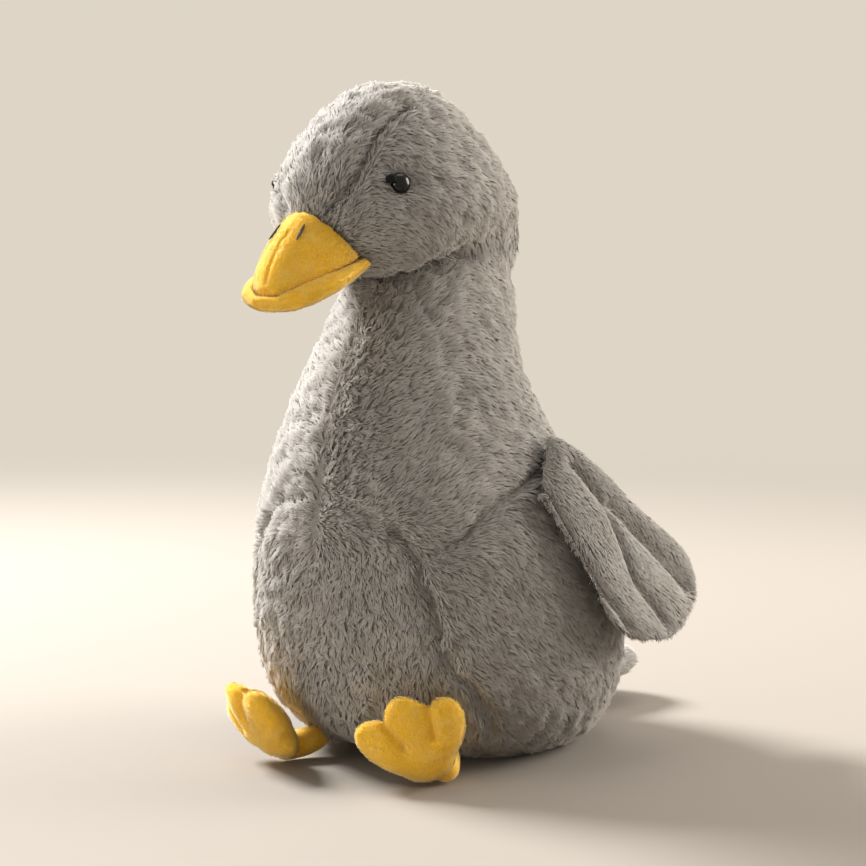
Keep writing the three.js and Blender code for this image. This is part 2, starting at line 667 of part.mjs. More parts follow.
// Room in a foot for the end of its leg: round ahead of the ankle, and opening backwards for the foot to flop
function legSocket({ ankle, along }) {
  const radius = legRadius + fillingGap;
  const steps = 4;
  const outline = [];
  for (let i = 0; i <= steps; i++) {
    const angle = (PI / 2) * (1 - i / steps);
    outline.push(new THREE.Vector2(i > 0 ? radius * cos(angle) : 0, radius * sin(angle)));
  }
  const mouth = radius + footThickness * Math.tan(radians(footFlop + footFlopSlack));
  outline.push(new THREE.Vector2(mouth, -footThickness), new THREE.Vector2(0, -footThickness));
  const socket = new THREE.LatheGeometry(outline, 14);
  const across = along.clone().cross(up).normalize();
  socket.applyMatrix4(placed(ankle, across, along, across.clone().cross(along)));
  return asManifold(socket);
}
const clearOfLeg = (foot, leg) =>
  foot.subtract(legSocket(leg)).subtract(slabBetween(-bodyHeight, footRestGap)).subtract(bodyClear);
const footCavityShare = 0.7;
const footFillingShare = 0.66;

const toy = new THREE.Group();
function piece(name, solid, material) {
  const mesh = new THREE.Mesh(asGeometry(solid), material);
  mesh.name = name;
  toy.add(mesh);
}

piece('body_cover', bodyCover, fur);
piece('base_panel', basePanel, fur);
piece('body_filling', bodyFilling, fibre);
piece('pellet_pouch', pelletPouch, pouchCloth);
piece('head_cover', headCover, fur);
piece('head_filling', headFilling, fibre);
piece('upper_bill', upperBill, velboa);
piece('bill_filling', billFilling, fibre);
piece('lower_bill', lowerBill, velboa);
piece('tail', tailSolid(), fur);

const sides = [['left', 1, leftFootPose], ['right', -1, rightFootPose]];
sides.forEach(([word, side, pose], i) => {
  piece(`${word}_eye`, eyeSolid(eyeFrames[i]), eyePlastic);
  piece(`${word}_eye_washer`, washerSolid(eyeFrames[i]), washerPlastic);
  piece(`${word}_eye_corner`, cornerSolid(eyeFrames[i]), blackThread);
  piece(`${word}_nostril_stitch`, nostrilSolid(side), blackThread);
  piece(`${word}_wing`, wings[i].cover, fur);
  piece(`${word}_wing_wadding`, wings[i].wadding, fibre);
  const leg = legFrame(side, pose);
  piece(`${word}_leg`, legSolid(leg), velboa);
  const footCover = footSolid(leg, 1, 12).subtract(footSolid(leg, footCavityShare, 8));
  piece(`${word}_foot`, clearOfLeg(footCover, leg), velboa);
  piece(`${word}_foot_filling`, clearOfLeg(footSolid(leg, footFillingShare, 8), leg), fibre);
});

const box = new THREE.Box3().setFromObject(toy);
toy.position.y = -(box.min.y + box.max.y) / 2;

export default toy;
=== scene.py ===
# A seated plush duck in grey long-pile plush, with a padded bill and webbed feet in yellow velboa.
import math
import bpy
import numpy as np
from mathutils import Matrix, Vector, bvhtree, kdtree, noise
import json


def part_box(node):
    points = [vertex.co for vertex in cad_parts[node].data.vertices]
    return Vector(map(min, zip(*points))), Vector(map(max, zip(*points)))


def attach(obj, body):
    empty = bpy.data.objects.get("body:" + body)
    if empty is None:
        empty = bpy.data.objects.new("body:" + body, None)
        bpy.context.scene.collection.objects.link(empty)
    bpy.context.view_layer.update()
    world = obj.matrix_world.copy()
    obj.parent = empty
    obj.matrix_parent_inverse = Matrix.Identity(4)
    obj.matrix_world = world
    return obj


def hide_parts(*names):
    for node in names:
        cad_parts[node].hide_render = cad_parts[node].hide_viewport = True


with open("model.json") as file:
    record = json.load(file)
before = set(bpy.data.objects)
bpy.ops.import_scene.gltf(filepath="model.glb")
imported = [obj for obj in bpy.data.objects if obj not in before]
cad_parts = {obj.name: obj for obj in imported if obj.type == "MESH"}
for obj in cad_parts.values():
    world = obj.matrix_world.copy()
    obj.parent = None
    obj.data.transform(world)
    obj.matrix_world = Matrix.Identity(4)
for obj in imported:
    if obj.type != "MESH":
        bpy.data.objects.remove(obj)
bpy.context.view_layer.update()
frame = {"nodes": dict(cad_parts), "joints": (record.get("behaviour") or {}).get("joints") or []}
mm = 0.001


# Selection

def clearSelection():
    if bpy.context.object and bpy.context.object.mode != "OBJECT":
        bpy.ops.object.mode_set(mode="OBJECT")
    bpy.ops.object.select_all(action="DESELECT")


def pickOnly(*pieces):
    clearSelection()
    for piece in pieces:
        piece.select_set(True)
    bpy.context.view_layer.objects.active = pieces[0]


def addModifier(piece, kind, **settings):
    pickOnly(piece)
    bpy.ops.object.modifier_add(type=kind)
    modifier = piece.modifiers[-1]
    for key, value in settings.items():
        setattr(modifier, key, value)
    return modifier


def bake(piece, kind, **settings):  # a modifier that is applied at once
    modifier = addModifier(piece, kind, **settings)
    bpy.ops.object.modifier_apply(modifier=modifier.name)


def applyPlace(piece):
    pickOnly(piece)
    bpy.ops.object.transform_apply(location=True, rotation=True, scale=True)


def editAll(piece, operator, **settings):  # an edit-mode operator on the whole of a mesh
    pickOnly(piece)
    bpy.ops.object.mode_set(mode="EDIT")
    bpy.ops.mesh.select_all(action="SELECT")
    operator(**settings)
    bpy.ops.object.mode_set(mode="OBJECT")


# Mesh data as arrays

def readPoints(piece):
    points = np.empty(len(piece.data.vertices) * 3)
    piece.data.vertices.foreach_get("co", points)
    return points.reshape(-1, 3)


def writePoints(piece, points):
    piece.data.vertices.foreach_set("co", points.ravel())
    piece.data.update()


def readNormals(piece):
    normals = np.empty(len(piece.data.vertices) * 3)
    piece.data.vertex_normals.foreach_get("vector", normals)
    return normals.reshape(-1, 3)


def unit(vectors):
    return vectors / np.maximum(np.linalg.norm(vectors, axis=-1, keepdims=True), 1e-12)


def smoothStep(low, high, value):
    t = np.clip((value - low) / (high - low), 0, 1)
    return t * t * (3 - 2 * t)


def brushed(points, size):  # a slow irregular swing between -1 and 1 from place to place
    return np.clip([noise.noise(Vector(p)) * 1.8 for p in points / (size * mm)], -1, 1)


def treeOf(points):
    tree = kdtree.KDTree(len(points))
    for i, point in enumerate(points):
        tree.insert(point, i)
    tree.balance()
    return tree


def nearestOf(tree, points):  # the distance to the nearest point of a tree, and its number
    found = [tree.find(point) for point in points]
    return np.array([f[2] for f in found]), np.array([f[1] for f in found])


def nearness(places, points, width):  # 1 on the places, falling away within this many mm
    return np.exp(-(nearestOf(treeOf(places), points)[0] / (width * mm)) ** 2)


def between(stations, shares):  # places at these shares of the way from each station to the next
    for start, end in zip(stations, stations[1:]):
        for share in shares:
            yield tuple(a + (b - a) * share for a, b in zip(start, end))


def surfaceOf(piece):
    return bvhtree.BVHTree.FromPolygons([v.co[:] for v in piece.data.vertices],
                                        [p.vertices[:] for p in piece.data.polygons])


def distanceTo(surface, points):
    return np.array([surface.find_nearest(point)[3] for point in points])


# Materials

def linear(code):  # an sRGB hex colour as linear RGBA
    channels = [int(code[i:i + 2], 16) / 255 for i in (1, 3, 5)]
    return tuple(c / 12.92 if c <= 0.04045 else ((c + 0.055) / 1.055) ** 2.4 for c in channels) + (1.0,)


def addNode(tree, kind, settings=None, links=None):
    node = tree.nodes.new("ShaderNode" + kind)
    for key, value in (settings or {}).items():
        if isinstance(key, str) and hasattr(node, key):
            setattr(node, key, value)
        else:
            node.inputs[key].default_value = value
    for key, socket in (links or {}).items():
        tree.links.new(socket, node.inputs[key])
    return node


def startMaterial(name):  # the material, its tree, and the place on the piece that its patterns are laid out by
    material = bpy.data.materials.new(name)
    material.use_nodes = True
    tree = material.node_tree
    tree.nodes.clear()
    return material, tree, addNode(tree, "TexCoord").outputs["Object"]


def endMaterial(tree, shader):
    addNode(tree, "OutputMaterial", links={"Surface": shader.outputs[0]})


# The camera stands where the photograph's did: a long lens, a little above the duck's middle
camera = {
    "bearing": 36.0,       # degrees round from the duck's front, to its left
    "distance": 1.2,
    "height": 0.278,
    "aimHeight": 0.184,
    "lens": 90.3,
    "shiftX": -0.0081,
    "shiftY": -0.0231,
    "middleY": -0.0128,    # of the body's axis in this frame
}


def makeCamera(c):
    clearSelection()
    turn = math.radians(c["bearing"])
    place = Vector((math.sin(turn) * c["distance"], c["middleY"] - math.cos(turn) * c["distance"], c["height"]))
    aim = Vector((0, c["middleY"], c["aimHeight"]))
    bpy.ops.object.camera_add(location=place, rotation=(aim - place).to_track_quat("-Z", "Y").to_euler())
    made = bpy.context.object
    made.name = "photoCamera"
    made.data.lens = c["lens"]
    made.data.shift_x = c["shiftX"]
    made.data.shift_y = c["shiftY"]
    made.data.clip_end = 50
    bpy.context.scene.camera = made


makeCamera(camera)
bpy.context.scene.view_settings.view_transform = "Standard"

# A plain pale floor that fades into a pale surround, a large soft window lamp on the left and weak fills
studio = {
    "floorColour": "#968f86",
    "surroundColour": "#ded5c6",
    "floorRadius": 6.0,
    "fadeStart": 0.6,
    "fadeEnd": 1.8,
    "ambientColour": "#fff9f2",
    "ambient": 0.41,
    "keyPlace": (-1.62, -0.06, 1.5),
    "keySize": 0.8,
    "keyPower": 126,
    "keyColour": "#fdfdff",
    "fillPlace": (-0.2, 0.5, 2.4),
    "fillSize": 1.8,
    "fillPower": 17,
    "backPlace": (1.15, 1.45, 0.9),
    "backPower": 50,
    "backSize": 1.4,
    "lowPlace": (-0.35, -1.45, 0.2),
    "lowSize": 0.5,
    "lowPower": 6,
    "lampAim": (0, 0, 0.17),
}


def makeLamp(name, place, size, power, colour):
    clearSelection()
    toward = Vector(studio["lampAim"]) - Vector(place)
    bpy.ops.object.light_add(type="AREA", location=place, rotation=toward.to_track_quat("-Z", "Y").to_euler())
    lamp = bpy.context.object
    lamp.name = name
    lamp.data.shape = "DISK"
    lamp.data.size = size
    lamp.data.energy = power
    lamp.data.color = linear(colour)[:3]


def seenDirectly(tree):  # camera, mirror and see-through rays, which see the pale surround
    path = addNode(tree, "LightPath")
    either = addNode(tree, "Math", {"operation": "MAXIMUM"},
                     {0: path.outputs["Is Camera Ray"], 1: path.outputs["Is Glossy Ray"]})
    return addNode(tree, "Math", {"operation": "MAXIMUM"},
                   {0: either.outputs[0], 1: path.outputs["Is Transmission Ray"]})


def makeStudio(s):
    clearSelection()
    bpy.ops.mesh.primitive_circle_add(vertices=128, radius=s["floorRadius"], fill_type="NGON")
    floor = bpy.context.object
    floor.name = "studioFloor"
    material, tree, place = startMaterial("mattePaintedFloor")  # flat paint: an even pale tone with no shine
    reach = addNode(tree, "VectorMath", {"operation": "LENGTH"}, {0: place})
    fade = addNode(tree, "MapRange", {"interpolation_type": "SMOOTHSTEP",
                                                "From Min": s["fadeStart"], "From Max": s["fadeEnd"]},
                   {"Value": reach.outputs["Value"]})
    both = addNode(tree, "Math", {"operation": "MULTIPLY"},
                   {0: fade.outputs[0], 1: seenDirectly(tree).outputs[0]})
    paint = addNode(tree, "BsdfPrincipled", {"Base Color": linear(s["floorColour"]), "Roughness": 0.9,
                                                       "Specular IOR Level": 0.2})
    far = addNode(tree, "Emission", {"Color": linear(s["surroundColour"]), "Strength": 1.0})
    endMaterial(tree, addNode(tree, "MixShader", links={0: both.outputs[0], 1: paint.outputs[0],
                                                                  2: far.outputs[0]}))
    floor.data.materials.append(material)
    world = bpy.data.worlds.new("studioSurround")
    bpy.context.scene.world = world
    world.use_nodes = True
    tree = world.node_tree
    tree.nodes.clear()
    light = addNode(tree, "Background", {"Color": linear(s["ambientColour"]), "Strength": s["ambient"]})
    seen = addNode(tree, "Background", {"Color": linear(s["surroundColour"]), "Strength": 1.0})
    mixed = addNode(tree, "MixShader", links={0: seenDirectly(tree).outputs[0], 1: light.outputs[0],
                                                        2: seen.outputs[0]})
    addNode(tree, "OutputWorld", links={"Surface": mixed.outputs[0]})
    makeLamp("windowLamp", s["keyPlace"], s["keySize"], s["keyPower"], s["keyColour"])
    makeLamp("fillLamp", s["fillPlace"], s["fillSize"], s["fillPower"], s["ambientColour"])
    makeLamp("lowLamp", s["lowPlace"], s["lowSize"], s["lowPower"], s["ambientColour"])
    makeLamp("backLamp", s["backPlace"], s["backSize"], s["backPower"], s["ambientColour"])


makeStudio(studio)
print("stage: camera, floor and lamps")


# Plush: a knitted backing with a long, dense pile of fine polyester fibre
plush = {
    # the root colour is darker than the tip: painted shade deep in the pile, between the locks
    "shadedRootColour": "#928e88",
    "tipColour": "#aaa6a0",
    # the backing is darker than the pile: painted shade where it shows between the locks
    "shadedBackingColour": "#8e8a84",
    "shadeSpread": 0.16,     # of one lock to the next
    "patchSize": 22,         # mm, of brushed patches in the pile
    "patchSpread": 0.08,
    "sheen": 0.35,
    "sheenColour": "#fff6ea",
    "knitPitch": 1.1,        # mm, coarser than the real backing so that it shows
    "lumpDepth": 0.9,        # mm, of the unevenness under the pile
    "lumpSize": 8,           # mm
}


def pileMaterial(name, p):  # brushed polyester pile: soft and dull, each lock a little apart in tone, darker at its root and pale at its tip, which paints the shade deep in the pile
    material, tree, place = startMaterial(name)
    along = addNode(tree, "Attribute", {"attribute_name": "along"})
    shade = addNode(tree, "Attribute", {"attribute_name": "shade"})
    colour = addNode(tree, "Mix", {"data_type": "RGBA", 6: linear(p["shadedRootColour"]),
                                             7: linear(p["tipColour"])}, {0: along.outputs["Fac"]})
    patches = addNode(tree, "TexNoise", {"Scale": 1 / (p["patchSize"] * mm), "Detail": 2.0},
                      {"Vector": place})
    patchTone = addNode(tree, "MapRange", {"From Min": 0.3, "From Max": 0.7,
                                                     "To Min": 1 - p["patchSpread"], "To Max": 1 + p["patchSpread"]},
                        {"Value": patches.outputs["Fac"]})
    lockTone = addNode(tree, "MapRange", {"From Min": -1.0, "From Max": 1.0,
                                                    "To Min": 1 - p["shadeSpread"], "To Max": 1 + p["shadeSpread"]},
                       {"Value": shade.outputs["Fac"]})
    tone = addNode(tree, "Math", {"operation": "MULTIPLY"},
                   {0: patchTone.outputs[0], 1: lockTone.outputs[0]})
    toned = addNode(tree, "HueSaturation", {"Saturation": 1.0},
                    {"Color": colour.outputs[2], "Value": tone.outputs[0]})
    endMaterial(tree, addNode(tree, "BsdfPrincipled",
                              {"Roughness": 0.9, "Specular IOR Level": 0.15, "Sheen Weight": p["sheen"],
                               "Sheen Roughness": 0.45, "Sheen Tint": linear(p["sheenColour"])},
                              {"Base Color": toned.outputs["Color"]}))
    return material


def backingMaterial(p):  # warp-knitted backing under the pile, with the rows of the knit; it is darker, which paints the shade where it shows between the locks
    material, tree, place = startMaterial("knittedBacking")
    rows = addNode(tree, "TexWave", {"wave_type": "BANDS", "bands_direction": "Z",
                                               "Scale": 1 / (p["knitPitch"] * mm * 20 / math.tau),
                                               "Distortion": 1.5}, {"Vector": place})
    colour = addNode(tree, "Mix", {"data_type": "RGBA", 6: linear(p["shadedBackingColour"]),
                                             7: linear(p["shadedRootColour"])}, {0: rows.outputs["Fac"]})
    bump = addNode(tree, "Bump", {"Strength": 0.5, "Distance": 0.3 * mm}, {"Height": rows.outputs["Fac"]})
    endMaterial(tree, addNode(tree, "BsdfPrincipled", {"Roughness": 0.95, "Specular IOR Level": 0.1},
                              {"Base Color": colour.outputs[2], "Normal": bump.outputs[0]}))
    return material


pile = pileMaterial("polyesterPile", plush)
backing = backingMaterial(plush)


# Seams are lines of stations, in degrees or mm, whose points are dropped onto the skin
seamShares = [i / 14 for i in range(14)]
channelShares = [i / 16 for i in range(16)]


def seamOnBody(surface, middleY, stations, wander, side):
    # stations: (bearing in degrees from the front, mm up); a ray from the body's axis finds the skin
    points = []
    for bearing, height in between(stations, seamShares):
        height = height * mm
        drift = wander * (math.sin(height * 160) + 0.6 * math.sin(height * 390 + 1))
        turn = math.radians(bearing + drift) * side
        axis = Vector((0, float(middleY(height)), height))
        hit = surface.ray_cast(axis, Vector((math.sin(turn), -math.cos(turn), 0)))[0]
        if hit:
            points.append(hit[:])
    return points


def partingsOf(lines, folds):  # how far the pile parts at each point of these seams
    return np.concatenate([np.full(len(points), folds[name][1]) for name, points in lines.items()])


def lump(piece, depth, size):  # the stuffing's small unevenness, in mm
    points = readPoints(piece)
    writePoints(piece, points + readNormals(piece) * (brushed(points, size) * depth * mm)[:, None])


def pullSeams(piece, seams, depth, width):
    points = readPoints(piece)
    pull = depth * mm * nearness(seams, points, width)
    writePoints(piece, points - readNormals(piece) * pull[:, None])


# Skins: each soft solid is copied, fused, remeshed, eased in by the depth of its pile and puffed as cloth

stuffingLetOut = 1.6    # mm


def copyNodes(nodes):
    copies = []
    for i, node in enumerate(nodes):
        copy = frame["nodes"][node].copy()
        copy.data = copy.data.copy()
        copy.parent = None
        for key in list(copy.keys()):
            del copy[key]
        bpy.context.collection.objects.link(copy)
        copy.hide_render = copy.hide_viewport = False
        editAll(copy, bpy.ops.mesh.remove_doubles, threshold=0.01 * mm)
        if i:  # the stuffing is let out past its gap, so that it fuses with its cover
            bake(copy, "DISPLACE", strength=stuffingLetOut * mm, mid_level=0)
        copies.append(copy)
    pickOnly(*copies)
    if len(copies) > 1:
        bpy.ops.object.join()
    return copies[0]


def keepLargest(piece):
    editAll(piece, bpy.ops.mesh.separate, type="LOOSE")
    parts = sorted(bpy.context.selected_objects, key=lambda part: -part.dimensions.length)
    for part in parts[1:]:
        bpy.data.objects.remove(part)
    pickOnly(parts[0])
    return parts[0]


def makeSkin(name, nodes, settings):
    piece = copyNodes(nodes)
    bake(piece, "REMESH", mode="VOXEL", voxel_size=settings["voxel"] * mm)
    piece = keepLargest(piece)
    piece.name = piece.data.name = name
    piece.data.materials.clear()
    bake(piece, "SMOOTH", factor=0.5, iterations=settings["smoothing"])
    if settings["ease"]:
        bake(piece, "DISPLACE", strength=-settings["ease"] * mm, mid_level=0)
        bake(piece, "SMOOTH", factor=0.5, iterations=2)
    return piece


# Cloth with air pressure inside, held at its seams, for all the puffed skins at once. The simulation throws a few
# points far out, so no point is let go further than its skin's cap
clothFrames = 20
puffing = []


def puffLater(piece, held, pressure, cap):
    # held: weights from 0 to 1, of how firmly each point is held; cap: the furthest that a point is moved, in mm
    group = piece.vertex_groups.new(name="held")
    for i in np.nonzero(held > 0.05)[0]:
        group.add([int(i)], float(held[i]), "REPLACE")
    modifier = addModifier(piece, "CLOTH")
    cloth = modifier.settings
    cloth.quality = 4
    cloth.mass = 0.15
    cloth.use_pressure = True
    cloth.uniform_pressure_force = pressure
    cloth.tension_stiffness = cloth.compression_stiffness = 12
    cloth.bending_stiffness = 0.6
    cloth.effector_weights.gravity = 0
    cloth.vertex_group_mass = "held"
    modifier.point_cache.frame_start = 1
    modifier.point_cache.frame_end = clothFrames
    modifier.collision_settings.use_collision = False
    puffing.append((piece, cap))


def puffAll():
    for number in range(1, clothFrames + 1):
        bpy.context.scene.frame_set(number)
    graph = bpy.context.evaluated_depsgraph_get()
    for piece, cap in puffing:
        rest = readPoints(piece)
        puffed = rest
        puffed = readPoints(piece.evaluated_get(graph))
        move = puffed - rest
        reach = np.linalg.norm(move, axis=1, keepdims=True)
        kept = np.minimum(reach, cap * mm)
        print("cloth:", piece.name, "simulated mean %.2f and most %.2f mm," % (reach.mean() / mm, reach.max() / mm),
              "applied mean %.2f and most %.2f mm," % (kept.mean() / mm, kept.max() / mm),
              "points cut %.2f %%" % (100 * (reach > cap * mm).mean()))
        writePoints(piece, rest + move * np.minimum(1, cap * mm / np.maximum(reach, 1e-9)))
        pickOnly(piece)
        bpy.ops.object.modifier_remove(modifier=piece.modifiers[-1].name)
        piece.vertex_groups.clear()
        bake(piece, "SMOOTH", factor=0.5, iterations=2)
        bake(piece, "SUBSURF", levels=1, render_levels=1)
    bpy.context.scene.frame_set(1)
    puffing.clear()


# The body: one sewn cover over its stuffing, neck and all, with front, chest, side and back seams
body = {
    "nodes": ("body_cover", "body_filling"), "voxel": 4, "smoothing": 8, "ease": 2.6,
    "pressure": 260, "cap": 2.4, "seamWidth": 3.2, "heldWidth": 7,
    "wander": 0.8,          # degrees, that a seam strays each way
    "neckHold": (246, 256), # mm up, between which the head's socket takes hold of the neck
    "footHold": (8, 20),    # mm up, between which the base lets go of the body
    # (degrees from the front, mm above the floor)
    "frontSeam": [(4, 262), (5, 225), (3.5, 182), (1, 148), (0, 100), (2, 60), (2, 16)],
    "collarSeam": [(1, 148), (17, 142), (25, 131)],
    "chestSeam": [(25, 131), (27, 128), (32, 118), (34, 97), (37, 71), (41, 55), (47, 42), (51, 28), (52, 12)],
    "sideSeam": [(92, 160), (77, 152), (66, 146), (55, 138), (45, 127), (33, 117)],
    "backSeam": [(180, 262), (180, 200), (180, 150), (180, 100), (180, 45)],
    "baseSeam": [(0, 15), (51, 14), (65, 10), (84, 10), (108, 12), (180, 12)],
    # (depth in mm, how far the pile parts from it)
    "seamFolds": {"frontSeam": (1.0, 0.1), "backSeam": (1.6, 0.5), "collarSeam": (1.5, 0.3), "chestSeam": (5.2, 0.9),
                  "sideSeam": (4.8, 0.8), "baseSeam": (3.6, 0.7)},
}


def middleOf(piece):  # how far forward the body's axis is at each height
    points = readPoints(piece)
    heights = np.arange(12, 262, 10) * mm
    middles = []
    for height in heights:
        ring = points[np.abs(points[:, 2] - height) < 6 * mm]       # a little over half the step
        middles.append((ring[:, 1].min() + ring[:, 1].max()) / 2)
    return lambda height: np.interp(height, heights, middles)


bodySkin = makeSkin("bodySkin", body["nodes"], body)
bodyMiddle = middleOf(bodySkin)


def bodySeams():
    surface = surfaceOf(bodySkin)
    seams = {}
    for name in body["seamFolds"]:
        sides = (1,) if name in ("frontSeam", "backSeam") else (1, -1)
        seams[name] = sum([seamOnBody(surface, bodyMiddle, body[name], body["wander"], side) for side in sides], [])
    return {name: np.array(points) for name, points in seams.items()}


bodySeamLines = bodySeams()
bodySeamPoints = np.concatenate(list(bodySeamLines.values()))
bodyPartings = partingsOf(bodySeamLines, body["seamFolds"])
bodyPoints = readPoints(bodySkin)
neckFrom, neckTo = body["neckHold"]
footFrom, footTo = body["footHold"]
held = nearness(bodySeamPoints, bodyPoints, body["heldWidth"])
held = np.maximum(held, smoothStep(neckFrom * mm, neckTo * mm, bodyPoints[:, 2]))
held = np.maximum(held, 1 - smoothStep(footFrom * mm, footTo * mm, bodyPoints[:, 2]))
puffLater(bodySkin, held, body["pressure"], body["cap"])
print("skin: body")


# The head: two cheeks with a gusset between them, from the bill over the crown to the nape
head = {
    "nodes": ("head_cover", "head_filling"), "voxel": 4, "smoothing": 6, "ease": 1.6,
    "pressure": 120, "cap": 1.6, "seamWidth": 2.8, "heldWidth": 7,
    "middle": (0, -55, 305),    # mm, inside the skull
    # (degrees up from the front, mm from the middle plane)
    "browSeam": [(-8, 14), (-3, 21), (4, 25), (14, 26), (28, 24.5), (50, 24.8), (64, 24.6)],
    "crownSeam": [(64, 24.6), (78, 23.4), (92, 21), (120, 17), (150, 14), (175, 12), (196, 10)],
    # (depth in mm, how far the pile parts from it)
    "seamFolds": {"browSeam": (6.0, 0.9), "crownSeam": (1.4, 0.25)},
    "socketReach": 9,           # mm, within which the neck or the bill holds the cloth
    "eyeHold": (6, 11),         # mm from an eye's middle, between which its washer lets go of the cloth
    "eyeDent": 3.2, "eyeDentWidth": 8.8,
}
headSkin = makeSkin("headSkin", head["nodes"], head)


def seamOnHead(surface, stations):
    points = []
    for side in (1, -1):
        for rise, x in between(stations, seamShares):
            turn = math.radians(rise)
            start = Vector((x * mm * side, head["middle"][1] * mm, head["middle"][2] * mm))
            hit = surface.ray_cast(start, Vector((0, -math.cos(turn), math.sin(turn))))[0]
            if hit:
                points.append(hit[:])
    return np.array(points)


def nodeCentre(name):
    low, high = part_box(name)
    return (np.array(low) + np.array(high)) / 2


unpuffedHead = surfaceOf(headSkin)
headSeamLines = {name: seamOnHead(unpuffedHead, head[name]) for name in head["seamFolds"]}
headSeamPoints = np.concatenate(list(headSeamLines.values()))
headPartings = partingsOf(headSeamLines, head["seamFolds"])
headPoints = readPoints(headSkin)
eyeCentres = np.array([nodeCentre(side + "_eye") for side in ("left", "right")])
billPoints = np.concatenate([readPoints(frame["nodes"][name]) for name in ("upper_bill", "lower_bill")])
eyeFrom, eyeTo = head["eyeHold"]
held = nearness(headSeamPoints, headPoints, head["heldWidth"])
reach = head["socketReach"] * mm
held = np.maximum(held, 1 - smoothStep(reach * 0.6, reach, distanceTo(surfaceOf(bodySkin), headPoints)))
held = np.maximum(held, 1 - smoothStep(reach * 0.4, reach, nearestOf(treeOf(billPoints), headPoints)[0]))
eyeDistance = nearestOf(treeOf(eyeCentres), headPoints)[0]
held = np.maximum(held, 1 - smoothStep(eyeFrom * mm, eyeTo * mm, eyeDistance))
puffLater(headSkin, held, head["pressure"], head["cap"])
print("skin: head")


# The wings: flat and quilted, each with three channels that fan out from its root
wing = {
    "voxel": 2.6, "smoothing": 4, "ease": 1.0,
    "pressure": 380, "cap": 3.4, "seamDepth": 3.2, "seamWidth": 3.4, "heldWidth": 6,
    "outside": 200,     # mm from the duck's middle plane, beyond any wing
    # (mm back, mm up), as seen from the duck's side
    "channels": [[(-44, 145), (-37, 122), (-25, 97), (-4, 75)],
                 [(-18, 162), (-4, 141), (10, 98), (36, 71)],
                 [(2, 139), (36, 113), (66, 86)]],
}


def channelsOn(piece):  # each channel is stitched through, so it shows on both faces of the wing
    surface = surfaceOf(piece)
    side = 1 if readPoints(piece)[:, 0].mean() > 0 else -1
    points = []
    for channel in wing["channels"]:
        for y, z in between(channel, channelShares):
            for fromX, way in ((wing["outside"] * mm * side, -side), (0, side)):
                hit = surface.ray_cast(Vector((fromX, y * mm, z * mm)), Vector((way, 0, 0)))[0]
                if hit:
                    points.append(hit[:])
    return np.array(points)


wingSkins = {}
wingSeamPoints = {}
for side in ("left", "right"):
    skin = makeSkin(side + "WingSkin", (side + "_wing", side + "_wing_wadding"), wing)
    wingSeamPoints[side] = channelsOn(skin)
    held = nearness(wingSeamPoints[side], readPoints(skin), wing["heldWidth"])
    puffLater(skin, held, wing["pressure"], wing["cap"])
    wingSkins[side] = skin
print("skin: wings")

# The tail: a flat stub with a seam round its edge
tail = {
    "voxel": 3, "smoothing": 4, "ease": 3.0, "pressure": 100, "cap": 1.4,
    "heldReach": 12,                        # mm from its sewn end, within which the body holds it
    "rootReach": 26, "rootPush": 12,        # mm, of its end that is drawn into the body, and how far
}
tailSkin = makeSkin("tailSkin", ("tail",), tail)
tailDepth = readPoints(tailSkin)[:, 1]
held = 1 - smoothStep(0, tail["heldReach"] * mm, tailDepth - tailDepth.min())
puffLater(tailSkin, held, tail["pressure"], tail["cap"])
print("skin: tail")

# The base: a flat oval panel, sewn in under the body
basePanel = {"voxel": 2.4, "smoothing": 2, "ease": 0}
baseSkin = makeSkin("basePanel", ("base_panel",), basePanel)

# The bill and feet: short-pile velboa, firmly stuffed
bill = {
    "voxel": 1.3, "smoothing": 4, "ease": 0.6, "seamDepth": 0.9, "seamWidth": 1.1,
    "seamFrom": (-120, 297), "seamTo": (-162, 248), "seamPoints": 240,      # mm forward and up, in the middle plane
}
lip = {"voxel": 1.3, "smoothing": 3, "ease": 0.4}
leg = {"voxel": 1.6, "smoothing": 3, "ease": 0.2, "rootReach": 9, "rootPush": 8, "rootRise": 3}
foot = {
    "voxel": 1.8, "smoothing": 3, "ease": 1.5, "pressure": 200, "cap": 1.2,
    "seamDepth": 2.6, "seamWidth": 2.0, "heldWidth": 3.5,
    "creaseShares": (0.62, 1.04),   # of the way from the ankle to the notch between two toes
}
upperBill = makeSkin("upperBill", ("upper_bill", "bill_filling"), bill)
lowerBill = makeSkin("lowerBill", ("lower_bill",), lip)


def creasesOn(piece, ankle):
    # two creases run down from the notches between the toes, on the sole and on the instep
    points = readPoints(piece)
    centre = points.mean(0)
    axes = np.linalg.svd(points - centre, full_matrices=False)[2]   # along, across and through the foot
    flat = (points - ankle) @ axes[:2].T
    turn = np.arctan2(flat[:, 1], flat[:, 0])
    middle = math.atan2(*reversed((centre - ankle) @ axes[:2].T))
    turn = (turn - middle + math.pi) % math.tau - math.pi
    radius = np.linalg.norm(flat, axis=1)
    bins = np.radians(np.arange(-58, 59, 3))
    profile = np.array([radius[np.abs(turn - b) < math.radians(2.5)].max(initial=0) for b in bins])
    notches = [i for i in range(2, len(bins) - 2) if profile[i] < profile[i - 2] and profile[i] <= profile[i - 1]
               and profile[i] <= profile[i + 1] and profile[i] < profile[i + 2]]
    surface = surfaceOf(piece)
    creases = []
    for i in notches:
        for share in np.linspace(*foot["creaseShares"], 18):
            angle = bins[i] + middle
            place = ankle + (axes[0] * math.cos(angle) + axes[1] * math.sin(angle)) * profile[i] * share
            for way in (1, -1):
                hit = surface.ray_cast(Vector(place + axes[2] * way * 0.05), Vector(axes[2] * -way))[0]
                if hit:
                    creases.append(hit[:])
    print("creases", piece.name, len(notches), len(creases))
    return np.array(creases)


